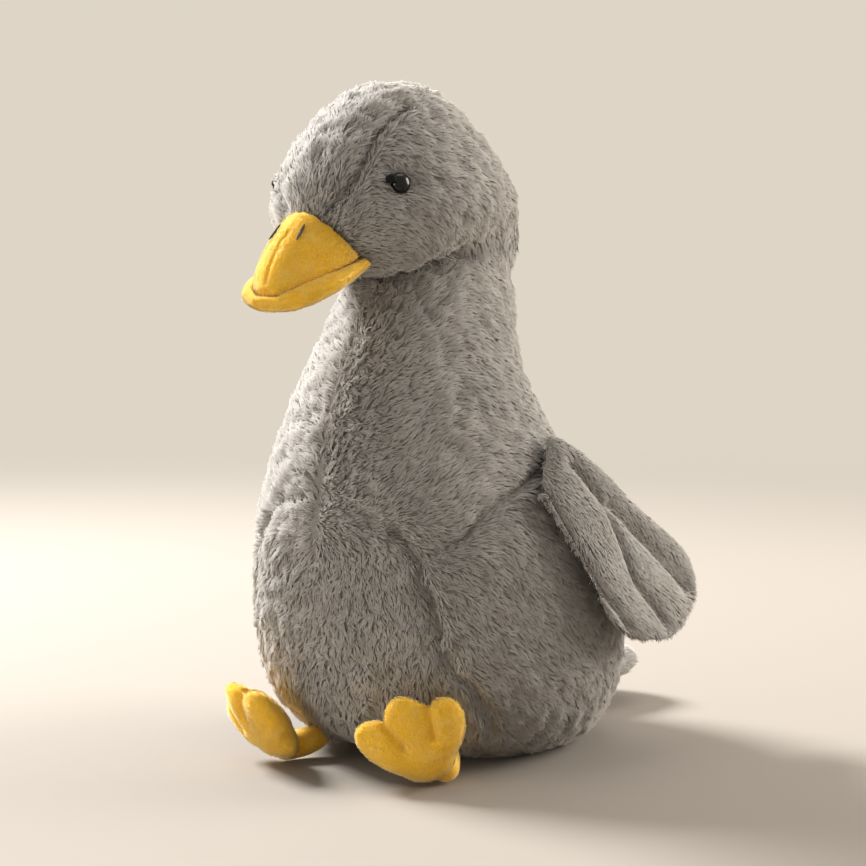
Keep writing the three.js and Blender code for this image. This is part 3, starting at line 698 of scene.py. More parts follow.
jointPlace = {joint["name"]: np.array(joint["pos_m"]) for joint in frame["joints"]}
footSkins = {}
legSkins = {}
footCreases = {}
for side in ("left", "right"):
    skin = makeSkin(side + "FootSkin", (side + "_foot", side + "_foot_filling"), foot)
    footCreases[side] = creasesOn(skin, jointPlace[side + "_foot_flop"])
    held = nearness(footCreases[side], readPoints(skin), foot["heldWidth"])
    puffLater(skin, held, foot["pressure"], foot["cap"])
    footSkins[side] = skin
    legSkins[side] = makeSkin(side + "Leg", (side + "_leg",), leg)
print("skin: bill, feet and legs")


# The neck swells to meet the head's edge at the nape, so that the two run on as one; under the jaw it stays free
nape = {
    "above": 215,           # mm, the height above which the neck can swell
    "reach": (2, 20),       # mm from the head's skin
    "edge": 1.5,            # mm, each way from the level of the head's edge
    "swell": 4.4,           # mm
    "bearings": (24, 78),   # degrees from the front
}


def fromNape(points):  # 0 under the jaw to 1 round the nape, and the way out from the neck's axis
    out = np.stack([points[:, 0], points[:, 1] - bodyMiddle(points[:, 2]), np.zeros(len(points))], 1)
    return smoothStep(*nape["bearings"], np.abs(np.degrees(np.arctan2(out[:, 0], -out[:, 1])))), unit(out)


def fillNape():
    points = readPoints(bodySkin)
    near = np.nonzero(points[:, 2] > nape["above"] * mm)[0]
    found = [puffedHead.find_nearest(point) for point in points[near]]
    gapBelow = np.array([hit[0][2] for hit in found]) - points[near][:, 2]
    reach = 1 - smoothStep(nape["reach"][0] * mm, nape["reach"][1] * mm, np.array([hit[3] for hit in found]))
    share, out = fromNape(points[near])
    edge = nape["edge"] * mm
    swell = share * reach * smoothStep(-edge, edge, gapBelow) * nape["swell"] * mm
    points[near] += out * swell[:, None]
    writePoints(bodySkin, points)


def rootInto(skin, way, limb):  # the sewn end of a limb is drawn on into the body, so that no gap shows
    points = readPoints(skin)
    along = points @ way
    share = smoothStep(along.max() - limb["rootReach"] * mm, along.max(), along)
    writePoints(skin, points + way * (share * limb["rootPush"] * mm)[:, None])


puffAll()
rootInto(tailSkin, np.array([0, -1.0, 0]), tail)
for side in ("left", "right"):
    inward = jointPlace[side + "_leg_swing"] - jointPlace[side + "_foot_flop"]
    rootInto(legSkins[side], unit(inward * [1, 1, 0] + [0, 0, leg["rootRise"] * mm]), leg)
puffedHead = surfaceOf(headSkin)
for skin in (bodySkin, headSkin):
    lump(skin, plush["lumpDepth"], plush["lumpSize"])
for name, points in bodySeamLines.items():
    pullSeams(bodySkin, points, body["seamFolds"][name][0], body["seamWidth"])
for name, points in headSeamLines.items():
    pullSeams(headSkin, points, head["seamFolds"][name][0], head["seamWidth"])
pullSeams(headSkin, eyeCentres, head["eyeDent"], head["eyeDentWidth"])
fillNape()
for side in ("left", "right"):
    pullSeams(wingSkins[side], wingSeamPoints[side], wing["seamDepth"], wing["seamWidth"])
    pullSeams(footSkins[side], footCreases[side], foot["seamDepth"], foot["seamWidth"])
bake(upperBill, "SUBSURF", levels=1, render_levels=1)
billSeam = [(0, y * mm, z * mm) for y, z in np.linspace(bill["seamFrom"], bill["seamTo"], bill["seamPoints"])]
billSurface = surfaceOf(upperBill)
billSeamPoints = np.array([billSurface.find_nearest(point)[0][:] for point in billSeam])
pullSeams(upperBill, billSeamPoints, bill["seamDepth"], bill["seamWidth"])
print("cloth: puffed and seamed")


# Velboa: a knitted cloth with a pile barely a millimetre long, brushed and cut level
velboa = {
    "deepColour": "#f2ae1c",
    "colour": "#fccb3a",
    "paleColour": "#ffeaa6",
    "grain": 0.9,            # mm, of the little tufts that catch the light
    "smudge": 9,             # mm, of patches where the pile is pressed another way
    "grainDepth": 0.25,
    "sheen": 0.85,
    "sheenColour": "#fff0c6",
    # the nap's root colour is darker than its tip: painted shade deep in the pile
    "shadedRootColour": "#f2b220",
    "tipColour": "#fedb68",
    "shadeSpread": 0.11,     # of one tuft to the next
    "patchSize": 14,         # mm
    "patchSpread": 0.03,
}


def velboaMaterial(v):  # short cut pile: a soft glow at the edges and a fine grain of paler and deeper tufts
    material, tree, place = startMaterial("velboaShortPile")
    grain = addNode(tree, "TexNoise", {"Scale": 1 / (v["grain"] * mm), "Detail": 3.0, "Roughness": 0.6},
                    {"Vector": place})
    smudge = addNode(tree, "TexNoise", {"Scale": 1 / (v["smudge"] * mm), "Detail": 3.0},
                     {"Vector": place})
    deep = addNode(tree, "MapRange", {"From Min": 0.35, "From Max": 0.62}, {"Value": grain.outputs["Fac"]})
    pale = addNode(tree, "MapRange", {"From Min": 0.45, "From Max": 0.8, "To Max": 0.28},
                   {"Value": smudge.outputs["Fac"]})
    base = addNode(tree, "Mix", {"data_type": "RGBA", 6: linear(v["deepColour"]), 7: linear(v["colour"])},
                   {0: deep.outputs[0]})
    colour = addNode(tree, "Mix", {"data_type": "RGBA", 7: linear(v["paleColour"])},
                     {0: pale.outputs[0], 6: base.outputs[2]})
    bump = addNode(tree, "Bump", {"Strength": 0.7, "Distance": v["grainDepth"] * mm},
                   {"Height": grain.outputs["Fac"]})
    endMaterial(tree, addNode(tree, "BsdfPrincipled",
                              {"Roughness": 0.85, "Specular IOR Level": 0.2, "Sheen Weight": v["sheen"],
                               "Sheen Roughness": 0.4, "Sheen Tint": linear(v["sheenColour"])},
                              {"Base Color": colour.outputs[2], "Normal": bump.outputs[0]}))
    return material


def plasticMaterial(name, colour, roughness, grain):  # injection-moulded: smooth, with a faint waviness in its gloss
    material, tree, place = startMaterial(name)
    flow = addNode(tree, "TexNoise", {"Scale": 1 / (grain * mm), "Detail": 2.0},
                   {"Vector": place})
    rough = addNode(tree, "MapRange", {"To Min": roughness * 0.8, "To Max": roughness * 1.3},
                    {"Value": flow.outputs["Fac"]})
    endMaterial(tree, addNode(tree, "BsdfPrincipled", {"Base Color": linear(colour), "IOR": 1.38},
                              {"Roughness": rough.outputs[0]}))
    return material


def threadMaterial(name, colour, twist):  # twisted polyester thread: a dull lustre broken by its plies
    material, tree, place = startMaterial(name)
    plies = addNode(tree, "TexWave", {"wave_type": "BANDS", "bands_direction": "DIAGONAL",
                                                "Scale": math.tau / (twist * mm * 20), "Distortion": 1.0},
                    {"Vector": place})
    bump = addNode(tree, "Bump", {"Strength": 0.6, "Distance": 0.1 * mm}, {"Height": plies.outputs["Fac"]})
    endMaterial(tree, addNode(tree, "BsdfPrincipled",
                              {"Base Color": linear(colour), "Roughness": 0.7, "Specular IOR Level": 0.2},
                              {"Normal": bump.outputs[0]}))
    return material


def wovenMaterial(name, colour, shadow, pitch):  # plain-woven cotton: a fine even grid of threads
    material, tree, place = startMaterial(name)
    rate = math.tau / (pitch * mm * 20)
    warp = addNode(tree, "TexWave", {"bands_direction": "X", "Scale": rate},
                   {"Vector": place})
    weft = addNode(tree, "TexWave", {"bands_direction": "Y", "Scale": rate},
                   {"Vector": place})
    weave = addNode(tree, "Math", {"operation": "MULTIPLY"},
                    {0: warp.outputs["Fac"], 1: weft.outputs["Fac"]})
    tone = addNode(tree, "Mix", {"data_type": "RGBA", 6: linear(shadow), 7: linear(colour)},
                   {0: weave.outputs[0]})
    bump = addNode(tree, "Bump", {"Strength": 0.5, "Distance": 0.2 * mm}, {"Height": weave.outputs[0]})
    endMaterial(tree, addNode(tree, "BsdfPrincipled", {"Roughness": 0.9, "Specular IOR Level": 0.2},
                              {"Base Color": tone.outputs[2], "Normal": bump.outputs[0]}))
    return material


shortPile = velboaMaterial(velboa)
velboaNap = pileMaterial("velboaNap", velboa)
eyePlastic = plasticMaterial("mouldedEyePlastic", "#040404", 0.16, 6)
washerPlastic = plasticMaterial("mouldedWasherPlastic", "#e8e8e4", 0.45, 4)
blackThread = threadMaterial("blackPolyesterThread", "#0b0908", 0.5)
pouchCotton = wovenMaterial("plainWovenCotton", "#e4e0d6", "#c9c3b4", 0.8)


# The pile: thousands of small spindles, each a closed mesh of six faces, lying along the brushed direction
lock = {
    "spacing": 1.075,        # mm between roots
    "length": 5.8,           # mm
    "lengthSpread": 0.3,
    "width": 0.84,           # mm, at the middle of its length
    "thickness": 0.34,
    "sink": 0.5,             # mm, of the root into the backing
    "lift": 17,              # degrees off the skin, at the root
    "liftSpread": 0.17,      # of one clump to the next
    "ruffle": 0.2,           # more and less lift from place to place
    "ruffleSize": 6,         # mm, of such a place
    "droop": 8,              # degrees off the skin, towards the tip
    "clumpSpacing": 3.0,     # mm
    "clumpPull": 0.17,
    "clumpApart": 4,         # mm out from the skin, where clumps are told apart, so that none spans a thin rim
    "gatherAhead": 0.8,      # of a lock's length, how far ahead of a clump its tips gather
    "gatherMost": 0.6,       # of a lock's length, the furthest that a tip is drawn over
    "elbow": 0.45,           # of a lock's length, where it bends over
    "elbowPull": 0.4,        # of the tip's pull
    "turnSpread": 12,        # degrees, of one clump to the next
    "strayTurn": 7,          # degrees, of one lock to the next
    "clumpShare": 0.75,      # of a lock's direction that its clump gives
    "brushTurn": 16,         # degrees, that the brushing swings from place to place
    "brushSize": 34,         # mm, of such a place
    "seamReach": 5.0,        # mm, within which locks are shorter, ruffled and part from a seam
    "seamShare": 0.42,
    "seamRuffle": 30,        # degrees
    "parting": 0.6,          # where a seam doesn't say how far its pile parts
    "partingTurn": 0.6,      # how strongly a parting turns the locks
    "fullParting": 0.8,      # from which on the locks are shortened in full
    "unrestTurn": 3.2,       # how much more the clumps turn, and stand up, where the pile is unsettled
    "unrestLift": 1.1,
    "unrestPull": 1.6,
    "normalShare": 0.72,     # of a lock's shading that follows the skin, so that the pile looks soft
    "floorGap": 0.3,         # mm, that the lowest locks keep over the floor
    "material": pile, "slot": "grey_plush",
}
nap = {                      # the velboa's own pile
    "spacing": 0.92, "length": 1.5, "width": 0.45, "thickness": 0.24, "sink": 0.15, "lift": 34, "droop": 16,
    "clumpSpacing": 3.2, "clumpPull": 0.12, "clumpApart": 1, "turnSpread": 9, "brushTurn": 8, "brushSize": 15,
    "seamReach": 1.6, "gap": 0.8, "material": velboaNap, "slot": "orange_velboa",
}


def scatter(skin, spacing, generator):
    # points spread evenly over a skin's triangles, with the skin's smooth normal at each
    mesh = skin.data
    mesh.calc_loop_triangles()
    corners = np.empty(len(mesh.loop_triangles) * 3, int)
    mesh.loop_triangles.foreach_get("vertices", corners)
    corners = corners.reshape(-1, 3)
    points, normals = readPoints(skin), readNormals(skin)
    a, b, c = points[corners[:, 0]], points[corners[:, 1]], points[corners[:, 2]]
    area = np.linalg.norm(np.cross(b - a, c - a), axis=1) / 2
    total = np.cumsum(area)
    count = int(total[-1] / (spacing * mm) ** 2)
    at = (np.arange(count) + generator.random(count)) / count * total[-1]
    chosen = corners[np.minimum(np.searchsorted(total, at), len(corners) - 1)]
    u, v = generator.random((2, count))
    over = u + v > 1
    u[over], v[over] = 1 - u[over], 1 - v[over]
    weights = np.stack([1 - u - v, u, v], 1)[:, :, None]
    order = generator.permutation(count)
    return (points[chosen] * weights).sum(1)[order], unit((normals[chosen] * weights).sum(1))[order]


def across(directions, normals):  # the part of each direction that lies in the skin
    return unit(directions - normals * (directions * normals).sum(1, keepdims=True))


# A lock's faces, on a root, three middle points and a tip: three towards the tip and three towards the root
lockFaces = np.array([(1, 2, 4), (2, 3, 4), (3, 1, 4), (2, 1, 0), (3, 2, 0), (1, 3, 0)])


def lockCorners():  # where each face lies in the lock's cell of its piece's own map
    corners = []
    for number in range(6):
        left = 0.06 + 0.3 * (number % 3)
        ends = (left, left + 0.28) if number < 3 else (left + 0.28, left)
        tip = 0.96 if number < 3 else 0.04
        corners.append([(ends[0], 0.5), (ends[1], 0.5), (left + 0.14, tip)])
    return np.array(corners)


def turned(directions, normals, angles):  # each direction turned about its normal
    angles = angles[:, None]
    return directions * np.cos(angles) + np.cross(normals, directions) * np.sin(angles)


def lockMesh(name, points, shading, shade):  # one piece of all the locks, each with its own cell of the piece's map
    count = len(points)
    made = bpy.data.meshes.new(name)
    faces = (lockFaces[None] + np.arange(count)[:, None, None] * 5).reshape(-1, 3)
    made.vertices.add(count * 5)
    made.vertices.foreach_set("co", points.ravel())
    made.loops.add(faces.size)
    made.loops.foreach_set("vertex_index", faces.ravel())
    made.polygons.add(len(faces))
    made.polygons.foreach_set("loop_start", np.arange(0, faces.size, 3))
    made.update(calc_edges=True)
    made.polygons.foreach_set("use_smooth", np.ones(len(faces), bool))
    perRow = math.ceil(math.sqrt(count))
    cells = np.stack([np.arange(count) % perRow, np.arange(count) // perRow], 1)
    corners = (lockCorners().reshape(1, -1, 2) + cells[:, None, :]) / perRow
    made.uv_layers.new(name="OFBake").data.foreach_set("uv", corners.ravel())
    for key, values in (("along", np.tile([0, 0.5, 0.5, 0.5, 1.0], count)), ("shade", np.repeat(shade, 5))):
        made.attributes.new(key, "FLOAT", "POINT").data.foreach_set("value", values.astype(np.float32))
    made.normals_split_custom_set_from_vertices(shading.reshape(-1, 3))
    piece = bpy.data.objects.new(name, made)
    bpy.context.collection.objects.link(piece)
    return piece


def growPile(name, roots, normals, flow, seams, settings, rider, generator, stretch=1.0, partings=None, unrest=None):
    # stretch: how much longer each lock is than the rest; partings: how far the pile parts at each seam;
    # unrest: from 0 to 1, how unsettled the pile is at each root
    s = dict(lock, **settings)
    count = len(roots)
    print("pile:", name, count, "locks")
    unrest = np.zeros(count) if unrest is None else unrest
    clumpCount = max(8, int(count * (s["spacing"] / s["clumpSpacing"]) ** 2))
    clumps, clumpNormals, clumpFlow, clumpUnrest = (v[:clumpCount] for v in (roots, normals, flow, unrest))
    turn = (generator.normal(0, s["turnSpread"], len(clumps)) * (1 + s["unrestTurn"] * clumpUnrest)
            + s["brushTurn"] * brushed(clumps, s["brushSize"]))
    clumpFlow = turned(clumpFlow, clumpNormals, np.radians(turn))
    clumpLift = (generator.normal(1, s["liftSpread"], len(clumps))
                 + s["ruffle"] * brushed(clumps, s["ruffleSize"])).clip(0.35, 1.9)
    clumpLift = clumpLift * (1 + s["unrestLift"] * clumpUnrest)
    apart = s["clumpApart"] * mm
    _, own = nearestOf(treeOf(clumps + clumpNormals * apart), roots + normals * apart)
    length = s["length"] * mm * (1 + s["lengthSpread"] * generator.uniform(-1, 1, count))
    ahead = across(clumpFlow[own] * s["clumpShare"] + flow * (1 - s["clumpShare"]), normals)
    ahead = turned(ahead, normals, np.radians(generator.normal(0, s["strayTurn"], count)))
    if len(seams):
        distance, which = nearestOf(treeOf(seams), roots)
        near = 1 - smoothStep(0, s["seamReach"] * mm, distance)
        parting = near * (s["parting"] if partings is None else partings[which])
        away = across(roots - seams[which], normals)
        ahead = across(ahead + away * parting[:, None] * s["partingTurn"], normals)
        ahead = turned(ahead, normals, np.radians(generator.normal(0, s["seamRuffle"], count)) * near)
        shorter = near if partings is None else near * np.minimum(1, partings[which] / s["fullParting"])
        length = length * (1 - (1 - s["seamShare"]) * shorter)
    length = length * stretch
    lift = np.radians(s["lift"]) * clumpLift[own] * generator.uniform(0.8, 1.2, count)
    droop = np.radians(s["droop"]) * clumpLift[own] * generator.uniform(0.6, 1.3, count)
    half = (length * s["elbow"])[:, None]
    rest = (length * (1 - s["elbow"]))[:, None]
    middle = roots + half * (ahead * np.cos(lift)[:, None] + normals * np.sin(lift)[:, None])
    tip = middle + rest * (ahead * np.cos(droop)[:, None] + normals * np.sin(droop)[:, None])
    gather = clumps[own] + clumpFlow[own] * (s["length"] * mm * s["gatherAhead"])
    pull = (gather - tip) - normals * ((gather - tip) * normals).sum(1, keepdims=True)
    furthest = s["length"] * mm * s["gatherMost"]
    pull *= np.minimum(1, furthest / np.maximum(np.linalg.norm(pull, axis=1, keepdims=True), 1e-9))
    level = smoothStep(0.6, 0.95, (normals * clumpNormals[own]).sum(1))      # none is drawn over an edge
    pull *= (s["clumpPull"] * level * (1 + s["unrestPull"] * unrest))[:, None]
    tip = tip + pull
    middle = middle + pull * s["elbowPull"]
    side = np.cross(normals, ahead)
    base = roots - normals * s["sink"] * mm
    wide = s["width"] * mm / 2 * generator.uniform(0.75, 1.25, (count, 1))
    thick = s["thickness"] * mm
    points = np.empty((count, 5, 3))
    shading = np.empty((count, 5, 3))
    points[:, 0], points[:, 4] = base, tip
    shading[:, 0], shading[:, 4] = normals, normals * 0.5 + ahead * 0.6
    for number, (sideways, up) in enumerate(((-1, 0), (1, 0), (0, 1))):
        points[:, number + 1] = middle + side * wide * sideways + normals * thick * up
        shading[:, number + 1] = side * sideways * 0.8 + normals * (0.35 + up)
    points[:, :, 2] = np.maximum(points[:, :, 2], s["floorGap"] * mm)
    share = s["normalShare"]
    shading = unit(unit(shading) * (1 - share) + normals[:, None, :] * share)
    shade = generator.normal(0, 0.35, count) + generator.normal(0, 0.35, len(clumps))[own]
    piece = lockMesh(name, points, shading, np.clip(shade, -1, 1))
    piece.data.materials.append(s["material"])
    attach(piece, rider)


# How the pile is brushed on each part. Body: degrees up from straight back, or down where below zero
brushing = {"neck": 34, "shoulder": -40, "back": -80, "flank": -50, "belly": -84}
headBrushing = {
    "billRoot": (0, -118, 274), "billReach": (24, 58),      # mm, the pile's start and how far that tells
    "crownHalf": (22, 34), "crownRise": (285, 315),         # mm out from the middle plane, and up
    "napeFrom": (-25, 15),                                  # mm back
    "cheekWay": (0, 0.8, -0.62), "crownWay": (0, 1.0, 0.15), "napeWay": (0, 0.25, -1.0),
}


def bodyFlow(points, normals):
    # back and up on the neck and chest, back and down on the flanks, straight down on the belly and the back
    turn = np.arctan2(points[:, 0], -(points[:, 1] - bodyMiddle(points[:, 2])))
    bearing = np.abs(np.degrees(turn))
    height = points[:, 2] / mm
    backward = np.stack([np.cos(turn), np.sin(turn), np.zeros(len(turn))], 1) * np.sign(turn)[:, None]
    front = 1 - smoothStep(45, 82, bearing)
    rear = smoothStep(95, 150, bearing)
    upperAngle = (brushing["neck"] * front + brushing["shoulder"] * (1 - front) * (1 - rear)
                  + brushing["back"] * rear)
    seamHeights, seamBearings = zip(*[(h, b) for b, h in reversed(body["collarSeam"] + body["chestSeam"][1:])])
    edge = np.interp(height, seamHeights, seamBearings, right=0)
    belly = (1 - smoothStep(-4, 4, bearing - edge)) * (1 - smoothStep(140, 150, height))
    lowerAngle = brushing["flank"] * (1 - rear) * (1 - belly) + brushing["belly"] * np.maximum(rear, belly)
    upper = smoothStep(104, 152, height)
    angle = np.radians(upperAngle * upper + lowerAngle * (1 - upper))[:, None]
    return across(backward * np.cos(angle) + np.array([0, 0, 1]) * np.sin(angle), normals)


def headFlow(points, normals):
    # out from the bill all round, back over the crown, back and down on the cheeks, down at the nape
    h = headBrushing
    x, y, z = np.abs(points[:, 0]) / mm, points[:, 1] / mm, points[:, 2] / mm
    fromBill = points - np.array(h["billRoot"]) * mm
    near = (1 - smoothStep(*h["billReach"], np.linalg.norm(fromBill, axis=1) / mm))[:, None]
    onCrown = ((1 - smoothStep(*h["crownHalf"], x)) * smoothStep(*h["crownRise"], z))[:, None]
    onNape = smoothStep(*h["napeFrom"], y)[:, None]
    along = np.array(h["cheekWay"]) * (1 - onCrown) + np.array(h["crownWay"]) * onCrown
    along = along * (1 - onNape) + np.array(h["napeWay"]) * onNape
    return across(unit(fromBill) * near + along * (1 - near), normals)


def wingFlow(points, normals):
    # along the nearest channel, from the root to the tip
    shares = (0.1, 0.3, 0.5, 0.7, 0.9)
    places = np.array([place for channel in wing["channels"] for place in between(channel, shares)])
    steps = np.concatenate([np.repeat(np.diff(channel, axis=0), len(shares), axis=0) for channel in wing["channels"]])
    ways = unit(np.column_stack([np.zeros(len(steps)), steps]))
    apart = np.linalg.norm(points[:, None, 1:] / mm - places[None], axis=2)
    weights = 1 / (apart + 4) ** 3          # 4 mm, so that the change from one channel to the next is gradual
    return across((weights[:, :, None] * ways[None]).sum(1), normals)


def tailFlow(points, normals):  # back, and fanning out a little to each side
    spread = np.stack([points[:, 0] * 6, np.ones(len(points)), np.zeros(len(points))], 1)
    return across(spread, normals)


def keepOff(points, normals, *rules):
    keep = np.ones(len(points), bool)
    for rule in rules:
        keep &= rule(points)
    return points[keep], normals[keep]


# Where the pile stops: at the neck's socket, the bill, the eyes, the base, the roots of the legs and where the tail
# goes into the body
gap = {"neck": 0.6, "bill": 1.0, "eye": 3.5, "leg": 0.4, "base": 2.5, "tail": 3}     # mm
socketFrom, coverTop = 250, 295     # mm up: where the neck goes into the head, and above which it grows no pile
# Longer locks close over the roots of wings and legs and over the neck's socket, within these distances in mm
lap = {"stretch": 0.5, "from": 4, "to": 11}
socketLap = {"stretch": 0.9, "from": 3, "to": 12}
# Where the pile is unsettled: in mm from the front seam, more on the chest than on the belly, and over the crown
rough = {
    "reach": 22, "chest": 1.0, "belly": 0.5, "crown": 0.35, "brow": 0.6, "browReach": 7,
    "collar": (120, 150),                               # mm up, between which the belly becomes the chest
    "crownHalf": (18, 28), "crownRise": (280, 310),     # mm out from the middle plane, and up
}

headSurface, bodySurface = surfaceOf(headSkin), surfaceOf(bodySkin)
billSurfaces = [surfaceOf(upperBill), surfaceOf(lowerBill)]


def offSurface(surface, distance):
    return lambda points: distanceTo(surface, points) > distance * mm


def bodyBack(points):  # how far back the body's skin reaches at each point's height, less the tail's gap
    starts = [Vector((x, 0, z)) for x, z in zip(points[:, 0], points[:, 2])]
    hits = [bodySurface.ray_cast(start, Vector((0, 1, 0)))[0] for start in starts]
    return np.array([hit[1] - gap["tail"] * mm if hit else -1.0 for hit in hits])     # -1 m: no skin there


generator = np.random.default_rng(20260)
roots, normals = scatter(bodySkin, lock["spacing"], generator)
roots, normals = keepOff(roots, normals, lambda p: p[:, 2] > gap["base"] * mm,
                         lambda p: (p[:, 2] < socketFrom * mm) | (distanceTo(headSurface, p) > gap["neck"] * mm),
                         lambda p: p[:, 2] < coverTop * mm,
                         offSurface(surfaceOf(legSkins["left"]), gap["leg"]),
                         offSurface(surfaceOf(legSkins["right"]), gap["leg"]))
flow = bodyFlow(roots, normals)
limbs = (*wingSkins.values(), *legSkins.values(), tailSkin)
limbGap = np.min([distanceTo(surfaceOf(skin), roots) for skin in limbs], 0)
stretch = 1 + lap["stretch"] * (1 - smoothStep(lap["from"] * mm, lap["to"] * mm, limbGap))
frontSeam = bodySeamLines["frontSeam"]
collarFrom, collarTo = rough["collar"]
aboveCollar = smoothStep(collarFrom * mm, collarTo * mm, roots[:, 2])
onChest = nearness(frontSeam, roots, rough["reach"]) * rough["chest"] * aboveCollar
onBelly = nearness(frontSeam, roots, 3 * rough["reach"]) * rough["belly"] * (1 - aboveCollar)
unrest = np.maximum(onChest, onBelly)
bearing = np.degrees(np.arctan2(roots[:, 0], -(roots[:, 1] - bodyMiddle(roots[:, 2]))))
zones = {"LeftFront": (0, 62), "LeftFlank": (62, 118), "LeftBack": (118, 181),
         "RightFront": (-62, 0), "RightFlank": (-118, -62), "RightBack": (-181, -118)}
for zone, (low, high) in zones.items():
    inZone = (bearing >= low) & (bearing < high)
    growPile("bodyPile" + zone, roots[inZone], normals[inZone], flow[inZone], bodySeamPoints, {}, "torso", generator,
             stretch[inZone], bodyPartings, unrest[inZone])

roots, normals = scatter(headSkin, lock["spacing"], generator)
roots, normals = keepOff(roots, normals, offSurface(bodySurface, gap["neck"]),
                         offSurface(billSurfaces[0], gap["bill"]), offSurface(billSurfaces[1], gap["bill"]),
                         lambda p: nearestOf(treeOf(eyeCentres), p)[0] > gap["eye"] * mm)
share, out = fromNape(roots)
socket = 1 - smoothStep(socketLap["from"] * mm, socketLap["to"] * mm, distanceTo(bodySurface, roots))
hang = (share * socket)[:, None]        # at the nape the pile hangs straight down over the edge
normals = unit(normals * (1 - hang) + out * hang)
flow = headFlow(roots, normals)
flow = across(flow * (1 - hang) + np.array([0, 0, -1]) * hang, normals)
stretch = 1 + socketLap["stretch"] * socket
crownFrom, crownTo = rough["crownRise"]
onCrown = 1 - smoothStep(*rough["crownHalf"], np.abs(roots[:, 0]) / mm)
unrest = rough["crown"] * onCrown * smoothStep(crownFrom * mm, crownTo * mm, roots[:, 2])
unrest = np.maximum(unrest, rough["brow"] * nearness(headSeamLines["browSeam"], roots, rough["browReach"]))
for zone, way in (("Left", 1), ("Right", -1)):
    inZone = roots[:, 0] * way >= 0
    growPile("headPile" + zone, roots[inZone], normals[inZone], flow[inZone], headSeamPoints,
             {"length": 5.4, "seamShare": 0.36}, "head", generator, stretch[inZone], headPartings, unrest[inZone])

# The wings' pile lies flatter than the rest, and is shorter round the thin rim, by this share
wingPile = {"length": 5.6, "lift": 14, "liftSpread": 0.12, "droop": 7, "turnSpread": 8, "clumpPull": 0.1}
rimShort = 0.5
for side in ("left", "right"):
    roots, normals = scatter(wingSkins[side], lock["spacing"], generator)
    shorter = 1 - rimShort * (1 - smoothStep(0.3, 0.8, np.abs(normals[:, 0])))
    growPile(side + "WingPile", roots, normals, wingFlow(roots, normals), wingSeamPoints[side], wingPile,
             side + "_wing", generator, shorter)

roots, normals = scatter(tailSkin, lock["spacing"], generator)
roots, normals = keepOff(roots, normals, lambda p: p[:, 1] > bodyBack(p))
growPile("tailPile", roots, normals, tailFlow(roots, normals), [], {"length": 7}, "tail", generator)


def growNap(skin, name, way, others, seams, rider):
    # way: which way it lies at each root, towards the bill's tip or out from the ankle
    roots, normals = scatter(skin, nap["spacing"], generator)
    roots, normals = keepOff(roots, normals, *(offSurface(surfaceOf(other), nap["gap"]) for other in others))
    flow = across(way(roots), normals)
    growPile(name, roots, normals, flow, seams, nap, rider, generator)


def towardTip(points):
    return np.tile([0, -0.85, -0.5], (len(points), 1))


growNap(upperBill, "upperBillNap", towardTip, [lowerBill, headSkin], billSeamPoints, "head")
growNap(lowerBill, "lowerBillNap", towardTip, [upperBill, headSkin], [], "head")
for side in ("left", "right"):
    ankle = jointPlace[side + "_foot_flop"]
    growNap(footSkins[side], side + "FootNap", lambda p: p - ankle, [legSkins[side]], footCreases[side],
            side + "_foot")


# Eyes: glossy domes with a narrow flange, set into the pile on the axis of their shanks
eye = {
    "radius": 5.6, "dome": 4.6, "flange": 0.15, "rim": 0.9, "rimTaper": 0.86, "bevel": 0.18, "sink": 0.5,
    "turn": 0.42,       # how far it faces to the side, on top of its shank's own way
}


def eyePlace(side):
    points = readPoints(frame["nodes"][side + "_eye"])
    axis = unit(points.mean(0) - readPoints(frame["nodes"][side + "_eye_washer"]).mean(0))
    axis = unit(axis + np.array([eye["turn"] * np.sign(axis[0]), 0, 0]))      # it settles facing sideways
    centre = points.mean(0)
    along = (points - centre) @ axis
    away = np.linalg.norm(points - centre - along[:, None] * axis, axis=1)
    rim = along[away > away.max() - 0.1 * mm].min()
    return centre + axis * (rim - eye["sink"] * mm), axis


def makeEye(side):
    place, axis = eyePlace(side)
    clearSelection()
    bpy.ops.mesh.primitive_uv_sphere_add(segments=64, ring_count=32, radius=(eye["radius"] - eye["flange"]) * mm)
    piece = bpy.context.object
    piece.name = side + "EyeDome"
    bpy.ops.object.mode_set(mode="EDIT")
    bpy.ops.mesh.select_all(action="SELECT")
    bpy.ops.mesh.bisect(plane_co=(0, 0, 0.02 * mm), plane_no=(0, 0, 1), clear_inner=True)
    bpy.ops.mesh.extrude_region_move()
    wider = eye["radius"] / (eye["radius"] - eye["flange"])
    bpy.ops.transform.resize(value=(wider, wider, 1))
    bpy.ops.mesh.extrude_region_move(TRANSFORM_OT_translate={"value": (0, 0, -eye["rim"] * mm)})
    bpy.ops.transform.resize(value=(eye["rimTaper"], eye["rimTaper"], 1))
    bpy.ops.mesh.fill()
    bpy.ops.mesh.select_all(action="SELECT")
    bpy.ops.mesh.normals_make_consistent(inside=False)
    bpy.ops.object.mode_set(mode="OBJECT")
    piece.scale = (1, 1, eye["dome"] / eye["radius"])
    piece.rotation_euler = Vector(axis).to_track_quat("Z", "Y").to_euler()
    piece.location = place
    applyPlace(piece)
    bake(piece, "BEVEL", width=eye["bevel"] * mm, segments=3, limit_method="ANGLE", angle_limit=math.radians(35))
    bpy.ops.object.shade_smooth_by_angle(angle=math.radians(50))
    piece.data.materials.append(eyePlastic)
    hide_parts(side + "_eye")
    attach(piece, "head")


# Satin stitches: strands of black thread laid side by side
cornerStitch = {"strands": 5, "radius": 0.72, "fan": 0.03, "reachShare": 0.86, "sink": 1.2, "tilt": 0}
nostrilStitch = {
    "strands": 3,
    "radius": 0.3,          # mm, of a strand
    "fan": 0.01,            # how far each strand leans from the next
    "reachShare": 1.3,      # a strand's length over its solid's
    "sink": 0,              # mm, into the cloth
    "tilt": 20,             # degrees, towards the other side's
}
strandPitch, strandTaper = 1.35, 0.1    # of a strand's radius from one to the next; of the length, for the outer ones


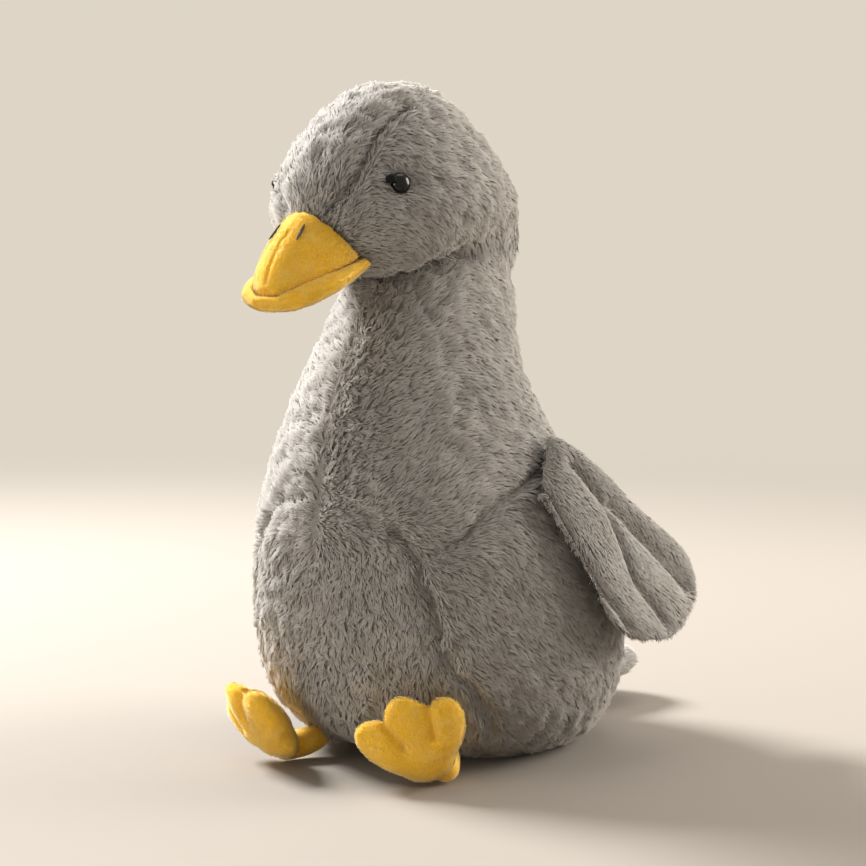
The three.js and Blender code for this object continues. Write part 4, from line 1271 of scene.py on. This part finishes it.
def makeStitches(name, node, s, way):
    points = readPoints(frame["nodes"][node])
    centre = points.mean(0)
    axes = np.linalg.svd(points - centre, full_matrices=False)[2]
    outward = unit(centre - np.array(head["middle"]) * mm)
    reach = (points - centre) @ axes[0]
    along = turned(axes[:1], outward[None], np.radians([s["tilt"] * way]))[0]
    sideways = unit(np.cross(along, outward))
    made = []
    for i in range(s["strands"]):
        place = i - (s["strands"] - 1) / 2
        clearSelection()
        bpy.ops.mesh.primitive_uv_sphere_add(segments=16, ring_count=12, radius=s["radius"] * mm)
        strand = bpy.context.object
        length = (reach.max() - reach.min()) * s["reachShare"] * (1 - strandTaper * abs(place))
        strand.scale = (1, 1, length / (2 * s["radius"] * mm))
        lean = unit(along + sideways * s["fan"] * place)
        strand.rotation_euler = Vector(lean).to_track_quat("Z", "Y").to_euler()
        strand.location = centre + sideways * place * s["radius"] * strandPitch * mm - outward * s["sink"] * mm
        applyPlace(strand)
        made.append(strand)
    pickOnly(*made)
    bpy.ops.object.join()
    piece = bpy.context.object
    piece.name = name
    bpy.ops.object.shade_smooth()
    piece.data.materials.append(blackThread)
    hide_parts(node)
    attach(piece, "head")


for side, way in (("left", 1), ("right", -1)):
    makeEye(side)
    makeStitches(side + "EyeCorner", side + "_eye_corner", cornerStitch, way)
    makeStitches(side + "NostrilStitch", side + "_nostril_stitch", nostrilStitch, way)
print("face: eyes and stitches")


# Skins take their finish and ride on their bodies
def finishSkin(piece, name, material, rider, nodes):
    piece.name = piece.data.name = name
    pickOnly(piece)
    bpy.ops.object.shade_smooth()
    piece.data.materials.append(material)
    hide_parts(*nodes)
    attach(piece, rider)


finishSkin(bodySkin, "bodySkin", backing, "torso", body["nodes"])
finishSkin(baseSkin, "basePanel", backing, "torso", ("base_panel",))
finishSkin(headSkin, "headSkin", backing, "head", head["nodes"])
finishSkin(tailSkin, "tailSkin", backing, "tail", ("tail",))
finishSkin(upperBill, "upperBill", shortPile, "head", ("upper_bill", "bill_filling"))
finishSkin(lowerBill, "lowerBill", shortPile, "head", ("lower_bill",))
for side in ("left", "right"):
    finishSkin(wingSkins[side], side + "WingSkin", backing, side + "_wing",
               (side + "_wing", side + "_wing_wadding"))
    finishSkin(footSkins[side], side + "Foot", shortPile, side + "_foot",
               (side + "_foot", side + "_foot_filling"))
    finishSkin(legSkins[side], side + "Leg", shortPile, side + "_leg", (side + "_leg",))

# Pieces that stay inside keep their solids and get their own finish
for side in ("left", "right"):
    frame["nodes"][side + "_eye_washer"].material_slots[0].material = washerPlastic
frame["nodes"]["pellet_pouch"].material_slots[0].material = pouchCotton
